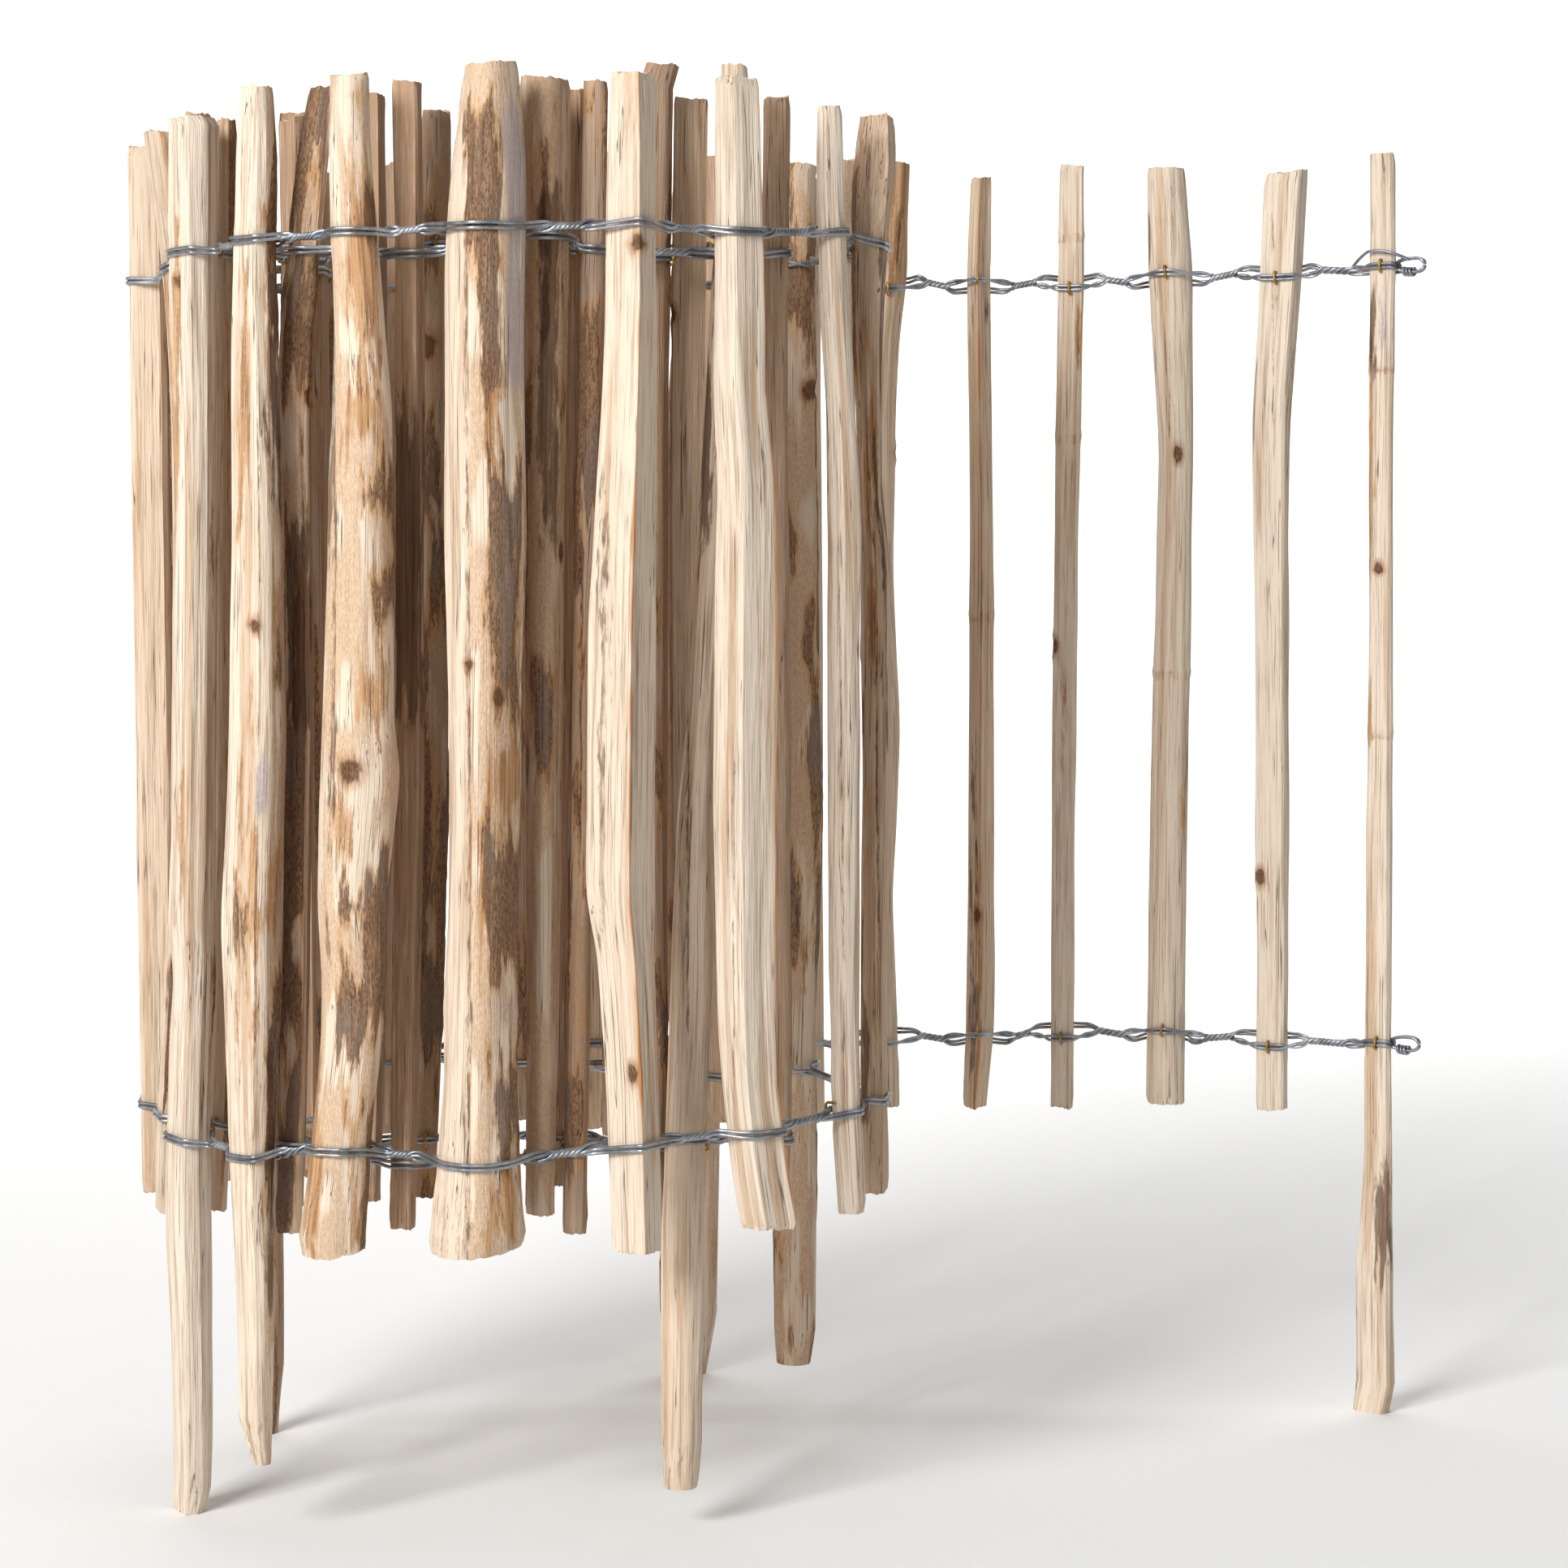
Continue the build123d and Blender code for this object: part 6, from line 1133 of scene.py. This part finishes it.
def hazel_material():
    n = Nodes("split_hazel")
    loc = n.attr("loc").outputs["Vector"]
    side, end, tone_and_shade, ring, ridge, broad, blotch = (n.attr(k).outputs["Fac"] for k in (
        "side", "end", "tone_and_shade", "ring", "ridge", "broad", "blotch"))
    bark, ochre, dark, grey = (n.attr(k).outputs["Fac"] for k in ("bark", "ochre", "dark", "grey"))
    fibre = n.noise(loc, 10.0, 4, 0.62, (1, 1, 0.028))
    streak = n.noise(loc, 4.4, 3, 0.6, (1, 1, 0.022), (9, 4, 0), 0.25)
    grit = n.noise(loc, 13.0, 3, 0.7, (1, 1, 0.30))
    ragged = n.noise(loc, 5.0, 3, 0.66, (1, 1, 0.16), (4, 2, 6))
    crackn = n.noise(loc, 2.9, 2, 0.5, (1, 1, 0.012), (1, 13, 0), 0.15)
    wob = n.math("MULTIPLY", n.math("SUBTRACT", ragged, 0.5), 9.0)
    # clean split wood: cream to tan, with fibre lines and broader streaks
    cream, pale, tan, deep = srgb(234, 219, 200), srgb(217, 193, 167), srgb(198, 166, 134), srgb(164, 128, 96)
    base = n.mix(tone_and_shade, cream, pale)
    # painted shade with the wood's own deeper tone: tones above 1 turn the wood dark brown on the inner pales
    deep_tone_and_shade = n.ramp(tone_and_shade, 1.0, 2.0, 0.0, 1.0, False)
    base = n.mix(deep_tone_and_shade, base, srgb(152, 112, 80))
    base = n.mix(n.math("MULTIPLY", n.ramp(broad, 0.50, 0.80), 0.8), base, tan)
    base = n.mix(n.math("MULTIPLY", n.ramp(streak, 0.52, 0.68), 0.55), base, deep)
    base = n.mix(n.math("MULTIPLY", n.ramp(fibre, 0.52, 0.74), 0.55), base, srgb(140, 102, 70))
    base = n.mix(n.math("MULTIPLY", n.ramp(fibre, 0.47, 0.30), 0.4), base, srgb(242, 229, 210))
    # the skin under the bark: browner and pinker, mottled
    sd = n.math("ADD", side, wob)
    skin = n.mix(n.ramp(grit, 0.35, 0.65), srgb(190, 154, 122), srgb(217, 190, 160))
    skin = n.mix(n.ramp(blotch, 0.45, 0.62), skin, srgb(233, 214, 192))
    # painted shade with the skin's own deeper tone, on the inner pales that lie in shade
    skin = n.mix(deep_tone_and_shade, skin, srgb(132, 98, 72))
    base = n.mix(n.math("MULTIPLY", n.ramp(sd, 0.3, 2.2), 0.8), base, skin)
    # orange where the two meet
    rim = n.math("SUBTRACT", n.ramp(sd, -1.2, 0.4), n.ramp(sd, 0.5, 2.0))
    rim = n.math("MULTIPLY", n.math("MULTIPLY", rim, n.ramp(blotch, 0.42, 0.60)), 0.7, True)
    base = n.mix(rim, base, srgb(192, 138, 84))
    base = n.mix(n.math("MULTIPLY", n.ramp(ridge, 0.25, 0.75), 0.85), base, srgb(190, 122, 58))
    # ochre patches where the bark came off
    om = n.math("MULTIPLY", n.ramp(n.math("ADD", ochre, wob), -1.2, 2.2), n.ramp(grit, 0.25, 0.55, 0.45, 0.9))
    ocol = n.mix(n.ramp(streak, 0.40, 0.62), srgb(198, 152, 104), srgb(150, 104, 64))
    base = n.mix(om, base, ocol)
    # grey bloom
    gm = n.math("MULTIPLY", n.ramp(n.math("ADD", grey, wob), -1.5, 2.5), 0.75)
    base = n.mix(gm, base, n.mix(n.ramp(grit, 0.4, 0.6), srgb(188, 178, 182), srgb(166, 152, 150)))
    # bark, in flakes with ragged tongues along the fibres
    bd = n.math("ADD", bark, wob)
    bm = n.ramp(bd, -0.2, 0.5)
    edge = n.math("SUBTRACT", n.ramp(bd, -2.2, -0.4), bm, True)
    base = n.mix(n.math("MULTIPLY", edge, 0.7), base, srgb(186, 138, 88))
    bcol = n.mix(n.ramp(grit, 0.34, 0.64), srgb(84, 60, 44), srgb(158, 122, 92))
    bcol = n.mix(n.math("MULTIPLY", n.ramp(streak, 0.46, 0.60), 0.6), bcol, srgb(118, 86, 60))
    bcol = n.mix(n.math("MULTIPLY", n.ramp(ragged, 0.54, 0.66), 0.55), bcol, srgb(176, 140, 104))
    bcol = n.mix(n.math("MULTIPLY", n.ramp(blotch, 0.52, 0.70), 0.5), bcol, srgb(126, 112, 104))
    base = n.mix(n.math("MULTIPLY", bm, 0.94), base, bcol)
    # dark patches: stains and torn hollows, and painted shade in the grooves and along shaded strips
    dm = n.math("MULTIPLY", n.ramp(n.math("ADD", dark, wob), -1.0, 2.0), 0.78)
    base = n.mix(dm, base, n.mix(n.ramp(streak, 0.42, 0.6), srgb(70, 46, 30), srgb(112, 78, 52)))
    # knots
    rd = n.math("ADD", ring, n.math("MULTIPLY", wob, 0.045))
    base = n.mix(n.math("MULTIPLY", n.ramp(rd, 0.05, 0.45), 0.6), base, srgb(172, 124, 82))
    core = n.math("MULTIPLY", n.ramp(rd, 0.40, 0.62), n.ramp(grit, 0.25, 0.6, 0.55, 0.95))
    base = n.mix(core, base, srgb(88, 58, 38))
    # fine cracks along the fibres
    cd = n.math("ABSOLUTE", n.math("SUBTRACT", crackn, 0.5))
    cm = n.math("MULTIPLY", n.ramp(cd, 0.0030, 0.0100, 1.0, 0.0), n.ramp(blotch, 0.44, 0.56))
    base = n.mix(n.math("MULTIPLY", cm, 0.75), base, srgb(92, 62, 42))
    # sawn ends: rings and a rougher face
    mp = n.add("ShaderNodeMapping")
    mp.inputs["Scale"].default_value = (1, 1, 0)
    n.link(loc, mp.inputs["Vector"])
    wave = n.add("ShaderNodeTexWave", wave_type="RINGS", rings_direction="SPHERICAL")
    wave.inputs["Scale"].default_value = 2.6
    wave.inputs["Distortion"].default_value = 2.2
    wave.inputs["Detail"].default_value = 1
    n.link(mp.outputs[0], wave.inputs["Vector"])
    ecol = n.mix(wave.outputs["Fac"], srgb(206, 172, 134), srgb(236, 212, 180))
    ecol = n.mix(n.math("MULTIPLY", n.ramp(grit, 0.5, 0.7), 0.6), ecol, srgb(168, 130, 94))
    base = n.mix(n.ramp(end, 0.2, 0.8), base, ecol)
    n.link(base, n.bsdf.inputs["Base Color"])
    rough = n.ramp(fibre, 0.3, 0.7, 0.72, 0.88)
    n.link(n.math("ADD", rough, n.math("MULTIPLY", bm, 0.06), True), n.bsdf.inputs["Roughness"])
    n.bsdf.inputs["Specular IOR Level"].default_value = 0.25
    # relief
    h = n.math("ADD", n.math("MULTIPLY", fibre, 0.8), n.math("MULTIPLY", streak, 0.5))
    h = n.math("ADD", h, n.math("MULTIPLY", n.math("MULTIPLY", grit, n.ramp(bd, -0.5, 0.5, 0.15, 1.6)), 0.8))
    h = n.math("SUBTRACT", h, n.math("MULTIPLY", cm, 0.9))
    h = n.math("ADD", h, n.math("MULTIPLY", bm, 0.4))
    bump = n.add("ShaderNodeBump")
    bump.inputs["Strength"].default_value = 0.75
    bump.inputs["Distance"].default_value = 0.0010
    n.link(h, bump.inputs["Height"])
    n.link(bump.outputs[0], n.bsdf.inputs["Normal"])
    return n.m


def zinc_material():
    n = Nodes("galvanised_wire")
    tc = n.add("ShaderNodeTexCoord")
    obj = tc.outputs["Object"]
    big = n.noise(obj, 70.0, 4, 0.6)
    fine = n.noise(obj, 900.0, 5, 0.65)
    col = n.mix(n.ramp(big, 0.35, 0.68), srgb(178, 182, 188), srgb(124, 127, 133))
    col = n.mix(n.math("MULTIPLY", n.ramp(fine, 0.52, 0.70), 0.55), col, srgb(104, 104, 106))
    col = n.mix(n.math("MULTIPLY", n.ramp(n.noise(obj, 240, 3, 0.5, (1, 1, 1), (3, 3, 3)), 0.64, 0.74), 0.4), col, srgb(120, 100, 82))
    n.link(col, n.bsdf.inputs["Base Color"])
    n.bsdf.inputs["Metallic"].default_value = 0.8
    n.link(n.ramp(fine, 0.3, 0.7, 0.30, 0.52), n.bsdf.inputs["Roughness"])
    bump = n.add("ShaderNodeBump")
    bump.inputs["Strength"].default_value = 0.3
    bump.inputs["Distance"].default_value = 0.00015
    n.link(fine, bump.inputs["Height"])
    n.link(bump.outputs[0], n.bsdf.inputs["Normal"])
    return n.m


def brass_material():
    n = Nodes("brass_staple")
    tc = n.add("ShaderNodeTexCoord")
    obj = tc.outputs["Object"]
    fine = n.noise(obj, 600.0, 5, 0.65)
    col = n.mix(n.ramp(fine, 0.40, 0.66), srgb(196, 158, 78), srgb(122, 88, 40))
    n.link(col, n.bsdf.inputs["Base Color"])
    n.bsdf.inputs["Metallic"].default_value = 0.8
    n.link(n.ramp(fine, 0.3, 0.7, 0.32, 0.55), n.bsdf.inputs["Roughness"])
    bump = n.add("ShaderNodeBump")
    bump.inputs["Strength"].default_value = 0.3
    bump.inputs["Distance"].default_value = 0.0001
    n.link(fine, bump.inputs["Height"])
    n.link(bump.outputs[0], n.bsdf.inputs["Normal"])
    return n.m


# ---------------------------------------------------------------- tubes
def resample(pts, step):
    pts = np.asarray(pts, float)
    d = np.hypot(*(pts[1:, :2] - pts[:-1, :2]).T)
    d = np.sqrt(((pts[1:] - pts[:-1]) ** 2).sum(1))
    s = np.concatenate([[0], np.cumsum(d)])
    n = max(2, int(round(s[-1] / step)))
    q = np.linspace(0, s[-1], n + 1)
    return np.stack([np.interp(q, s, pts[:, k]) for k in range(3)], 1)


def soften(pts, sigma):
    """Rounds a line sampled every half millimetre."""
    k = int(sigma * 2 * 3) + 1
    g = np.exp(-0.5 * (np.arange(-k, k + 1) * 0.5 / sigma) ** 2)
    g /= g.sum()
    pad = np.concatenate([np.repeat(pts[:1], k, 0), pts, np.repeat(pts[-1:], k, 0)])
    out = np.stack([np.convolve(pad[:, c], g, "valid") for c in range(3)], 1)
    out[0], out[-1] = pts[0], pts[-1]
    return out


def tube(lines, radius, sides):
    """Verts and faces of closed tubes along lines of points."""
    verts, faces = [], []
    for pts in lines:
        n = len(pts)
        t = np.gradient(pts, axis=0)
        t /= np.linalg.norm(t, axis=1)[:, None] + 1e-12
        up = np.array([0, 0, 1.0])
        frame_u = np.cross(up, t)
        bad = np.linalg.norm(frame_u, axis=1) < 0.15
        # carry the frame along the line so that it never flips
        cur = frame_u[0] if not bad[0] else np.cross(np.array([1.0, 0.3, 0]), t[0])
        cur /= np.linalg.norm(cur)
        us = np.zeros_like(pts)
        for i in range(n):
            cur = cur - t[i] * cur.dot(t[i])
            cur /= np.linalg.norm(cur) + 1e-12
            us[i] = cur
        ws = np.cross(t, us)
        o = len(verts)
        ang = np.arange(sides) * 2 * math.pi / sides
        taper = np.ones(n)
        if n > 4:
            taper[0] = taper[-1] = 0.62
        ringv = (pts[:, None, :] + radius * taper[:, None, None]
                 * (us[:, None, :] * np.cos(ang)[None, :, None] + ws[:, None, :] * np.sin(ang)[None, :, None]))
        verts += [tuple(q) for q in ringv.reshape(-1, 3)]
        for i in range(n - 1):
            for j in range(sides):
                j2 = (j + 1) % sides
                faces.append((o + i * sides + j, o + i * sides + j2, o + (i + 1) * sides + j2, o + (i + 1) * sides + j))
        faces.append(tuple(o + j for j in range(sides))[::-1])
        faces.append(tuple(o + (n - 1) * sides + j for j in range(sides)))
    return verts, faces


# ---------------------------------------------------------------- wires and staples
def joined(base, off):
    """Rounds a run of points and the strand's own offsets from it, heights more than plan."""
    base, off = np.array(base), np.array(off)
    keep = [0]
    for i in range(1, len(base)):
        if np.linalg.norm(base[i] - base[keep[-1]]) > 0.15:
            keep.append(i)
    base, off = base[keep], off[keep]
    s = np.concatenate([[0], np.cumsum(np.sqrt(((base[1:] - base[:-1]) ** 2).sum(1)))])
    q = np.linspace(0, s[-1], int(s[-1] / 0.5) + 1)
    b = np.stack([np.interp(q, s, base[:, k]) for k in range(3)], 1)
    o = np.stack([np.interp(q, s, off[:, k]) for k in range(3)], 1)
    plan = soften(b, 1.2)
    high = soften(b, 8.0)
    b = np.stack([plan[:, 0], plan[:, 1], high[:, 2]], 1)
    return b + soften(o, 0.9)


def parting(i):
    """How far the outer pair lies below the inner one round pale i, first above, then below, and
    so on; less where the fence is rolled up."""
    return (-1.0 if i % 2 else 1.0) * (2.4 if i == 0 else 6.0 if i <= 5 else 1.5)


def twisted(ways, side, no, seed):
    """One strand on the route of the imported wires: past each pale in its own pair, parting from
    the other pair in a narrow eye, and twisted with it half way to the next pale."""
    sgn = 1.0 if no == 0 else -1.0
    right, left = ways
    own, oth = (right, left) if side == 1 else (left, right)
    n = len(own)
    base, off = [], []
    for i in range(n):
        pts = own[i]
        rng = np.random.default_rng(70 + i * 4 + side + seed)
        part = rng.uniform(0.0, 0.5) if side == 1 else rng.uniform(0.0, 0.3)
        inner = pts[1:-1]
        drop = -parting(i) if side == 1 else 0.0
        if i == 0:
            base.append(np.array(pts[0])); off.append(np.array([0, 0, sgn * 1.15 + drop]))
        for k, p in enumerate(inner):
            f = (k + 0.5) / len(inner)
            base.append(np.array(p)); off.append(np.array([0, 0, sgn * 1.15 * (1 + part * math.sin(math.pi * f)) + drop]))
        if i == n - 1:
            base.append(np.array(pts[-1])); off.append(np.array([0, 0, sgn * 1.15 + drop]))
            break
        e = (np.array(own[i][-1]) + np.array(oth[i][-1])) / 2
        s = (np.array(own[i + 1][0]) + np.array(oth[i + 1][0])) / 2
        d = s - e
        length = float(np.linalg.norm(d))
        dh = d / length
        across = np.array([dh[1], -dh[0], 0.0])
        across /= np.linalg.norm(across)
        over = np.cross(across, dh)
        p0, p1 = parting(i), parting(i + 1)
        a0, a1 = math.copysign(1.0, p0), math.copysign(1.0, p1)
        r0, r1 = max(1.6, abs(p0) / 1.74), max(1.6, abs(p1) / 1.74)
        eye = min(13.0, 0.38 * length)
        free = length - 1.2 * eye
        whole_turns = 0 if length < 14 else max(0, int(round(free / 11.5 - (1 / 3 if a0 > 0 else -1 / 3))))
        th0, th1 = -60.0 * a0, -60.0 * a1 + 360.0 * whole_turns
        steps = max(8, int(length / 0.6))
        for k in range(steps + 1):
            t = length * k / steps
            w0 = float(1 - smooth(0, eye, np.array(t)))
            w1 = float(1 - smooth(0, eye, np.array(length - t)))
            g = float(np.clip((t - 0.45 * eye) / max(1.0, length - 0.9 * eye), 0, 1))
            g = 0.75 * g + 0.25 * g * g * (3 - 2 * g)
            th = math.radians(th0 + (th1 - th0) * g + (0 if side == 1 else 180))
            r = 1.12 + (r0 - 1.12) * w0 + (r1 - 1.12) * w1
            rad = across * math.cos(th) + over * math.sin(th)
            tang = -across * math.sin(th) + over * math.cos(th)
            up = np.array([0, 0, 1.0])
            # at the pale the two wires lie one above the other, in the rope side by side
            mixw = max(w0, w1) ** 2
            dirn = tang * (1 - mixw) + up * (mixw if tang[2] >= -0.2 else -mixw)
            dirn = dirn / (np.linalg.norm(dirn) + 1e-9)
            base.append(e + dh * t)
            q = t / length
            q = q * q * (3 - 2 * q)
            off.append(rad * r + dirn * (sgn * 1.06) - up * ((p0 * (1 - q) + p1 * q) / 2))
    return joined(base, off)


LOOP = ((-12.5, 2.2), (-10.0, 3.2), (-6.0, 4.0), (-1.0, 4.2), (2.5, 3.9), (4.6, 2.6), (5.5, 1.2), (5.7, 0.3))


def end_loop(way, other, first, side, no):
    """The flattened loop in which the pairs turn back beyond the last pale, and how each strand
    meets its mate at the loop's tip."""
    tip, near = np.array(way[0] if first else way[-1]), np.array(way[1] if first else way[-2])
    mate = np.array(other[0] if first else other[-1])
    mid = (tip + mate) / 2
    lateral = (tip - mate) / np.linalg.norm(tip - mate)
    out = np.array([lateral[1], -lateral[0], 0.0])
    if np.dot(out, mid - near) < 0:
        out = -out
    up = np.array([0, 0, 1.0])
    lat = 1.1 if no == 0 else -1.1
    way_up = 1.0 if side == 1 else -1.0
    pts = []
    for s, h in LOOP:
        pts.append(mid + out * s + up * (way_up * h) + lateral * (lat * side))
    return pts, mid, out, lateral


def build_wires(material):
    for line, word in ((0, "top"), (1, "bottom")):
        ways = wire_ways(line)
        for side, place in ((1, "outer"), (-1, "inner")):
            for no, tag in ((0, "upper"), (1, "lower")):
                own, oth = (ways[0], ways[1]) if side == 1 else (ways[1], ways[0])
                run = twisted(ways, side, no, line * 3 + no * 2)
                lines = []
                head, mid0, out0, lat0 = end_loop(own[0], oth[0], True, side, no)
                tail, mid1, out1, lat1 = end_loop(own[-1], oth[-1], False, side, no)
                s = (run - mid0) @ out0
                cut0 = int(np.argmax((s < -12.0)))
                s = (run - mid1) @ out1
                far = np.where(s < -12.0)[0]
                cut1 = int(far[-1]) if len(far) else len(run) - 1
                body = run[cut0:cut1 + 1]
                full = np.concatenate([np.array(head[::-1]), body, np.array(tail)])
                full = resample(full, 0.5)
                a, b = 40, len(full) - 40
                soft = soften(full, 0.9)
                full[:a], full[b:] = soft[:a], soft[b:]
                lines.append(resample(full, 1.7))
                if line == 0 and no == 0 and side == -1:
                    # one end arches over the last pale before it is tucked in
                    route = np.array([ways[1][0][k] for k in range(len(ways[1][0]))])
                    side_out = np.array([lat0[0], lat0[1], 0.0]) * 2.3
                    far = route[-1] + (route[-1] - route[-2]) / np.linalg.norm(route[-1] - route[-2]) * 9.0
                    route = np.concatenate([route, far[None]])
                    route = resample(route[::-1], 1.0)
                    f = np.linspace(0, 1, len(route))[:, None]
                    arch = route + side_out * np.sin(math.pi * f) ** 0.5 + np.array([0, 0, 1.0]) * (7.6 * np.sin(math.pi * f) + 1.4)
                    lines.append(resample(arch[:-3], 1.6))
                if no == 0 and side == 1:
                    # the spare ends, wound tight round the lower side of the loop
                    for mid, out, lat, turns in ((mid0, out0, lat0, 3.4), (mid1, out1, lat1, 2.4)):
                        coil = []
                        for k in range(int(turns * 14) + 1):
                            a = 2 * math.pi * k / 14
                            s = -8.5 + 2.15 * k / 14
                            h = float(np.interp(s, [p[0] for p in LOOP], [p[1] for p in LOOP]))
                            coil.append(mid + out * s + lat * (3.2 * math.cos(a))
                                        + np.array([0, 0, 2.1 * math.sin(a) - h]))
                        lines.append(np.array(coil))
                verts, faces = tube(lines, 1.02, 7)
                name = f"{word}_wire_{place}_{tag}"
                ob = new_mesh("zinc_" + name, np.array(verts) * MM, faces, material)
                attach(ob, "root")
                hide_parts(name)


def build_staples(material):
    for line, word in ((0, "top"), (1, "bottom")):
        right, left = wire_ways(line)
        lines = []
        for i, p in enumerate(PICKETS):
            found = staple_place(left[i])
            if found is None:
                continue
            (x, y), (nx, ny) = found
            z = p[3][line]
            rng = np.random.default_rng(500 + i * 2 + line)
            lift = wire_d / 2 + 0.15 + staple_d / 2
            sink = wire_d / 2 + wire_gap + 3.4
            tx, ty = -ny, nx
            lean = rng.uniform(-0.5, 0.5)
            leg = staple_leg
            pts = []
            for s in (-1, 1):
                side_pts = []
                for k in np.linspace(0, 1, 7):
                    side_pts.append((-sink * (1 - k) + (lift - 1.5) * k, s * leg))
                arc = [(lift - 1.5 + 1.5 * math.sin(a), s * (leg - 1.5 + 1.5 * math.cos(a)))
                       for a in np.linspace(0.15, math.pi / 2, 7)]
                side_pts += arc
                pts += side_pts if s == -1 else side_pts[::-1]
            way = []
            for o, h in pts:
                slide = lean * h / leg * (1 if o > 0 else 0.3)
                way.append(np.array([x + nx * o + tx * slide, y + ny * o + ty * slide, z + h]))
            fine = resample(way, 0.5)
            fine = resample(soften(fine, 0.45), 0.9)
            lines.append(fine)
        verts, faces = tube(lines, staple_d / 2, 8)
        name = f"{word}_staples"
        ob = new_mesh("brass_" + name, np.array(verts) * MM, faces, material)
        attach(ob, "root")
        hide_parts(name)


# ---------------------------------------------------------------- stage, light and camera
def floor_material():
    n = Nodes("studio_floor")
    n.bsdf.inputs["Base Color"].default_value = (0.90, 0.895, 0.885, 1)
    n.bsdf.inputs["Roughness"].default_value = 0.9
    n.bsdf.inputs["Specular IOR Level"].default_value = 0.1
    return n.m


def build_stage():
    # a floor that curves up into a plain backdrop
    prof = [(-6.0, 0.0), (-3.0, 0.0), (0.0, 0.0), (2.4, 0.0)]
    r = 1.6
    prof += [(2.4 + r * math.sin(a), r - r * math.cos(a)) for a in np.linspace(0.1, math.pi / 2, 16)]
    prof += [(2.4 + r, 3.0), (2.4 + r, 6.0)]
    verts, faces = [], []
    for y, z in prof:
        verts += [(-7.0, y, z), (7.0, y, z)]
    for k in range(len(prof) - 1):
        faces.append((2 * k, 2 * k + 1, 2 * k + 3, 2 * k + 2))
    ob = new_mesh("studio_sweep", verts, faces, floor_material())
    return ob


def area(name, place, aim, size, power, colour=(1, 1, 1)):
    li = bpy.data.lights.new(name, "AREA")
    li.shape = "RECTANGLE"
    li.size, li.size_y = size
    li.energy = power
    li.color = colour
    ob = bpy.data.objects.new(name, li)
    bpy.context.scene.collection.objects.link(ob)
    ob.location = place
    from mathutils import Vector
    ob.rotation_euler = (Vector(aim) - Vector(place)).to_track_quat("-Z", "Y").to_euler()
    return ob


def build_lights():
    area("key", (-1.75, -2.55, 1.9), (0, 0, 0.38), (1.3, 1.3), KEY)
    area("backdrop", (0.0, 1.8, 3.0), (0, 4.0, 0.7), (3.5, 0.8), BACK)
    area("top", (0.0, -0.3, 3.2), (0, 0, 0.3), (2.6, 2.2), TOP)
    area("fill", (2.6, -1.8, 1.2), (0, 0, 0.35), (1.8, 1.8), FILL)
    world = bpy.data.worlds.new("studio_world")
    bpy.context.scene.world = world
    world.use_nodes = True
    bg = world.node_tree.nodes["Background"]
    bg.inputs[0].default_value = (0.94, 0.97, 1.0, 1)
    bg.inputs[1].default_value = WORLD


KEY, TOP, FILL, BACK, WORLD = 117.0, 12.0, 8.0, 100.0, 0.15


def build_camera():
    cam = bpy.data.cameras.new("photo_camera")
    cam.lens = 85.1
    cam.sensor_width = 36.0
    cam.sensor_fit = "AUTO"
    cam.clip_start = 0.05
    cam.clip_end = 60
    ob = bpy.data.objects.new("photo_camera", cam)
    bpy.context.scene.collection.objects.link(ob)
    ob.location = (-0.009, -2.169, 0.567)
    ob.rotation_euler = (math.radians(85.68), 0, 0)
    bpy.context.scene.camera = ob


def line_up():
    bpy.context.scene.view_settings.view_transform = "Standard"
    build_stage()
    build_lights()
    build_camera()
    hazel, zinc, brass = hazel_material(), zinc_material(), brass_material()
    for i, p in enumerate(PICKETS):
        wood_mesh(i, p, hazel, p[0] in FINE)
    build_wires(zinc)
    build_staples(brass)


line_up()
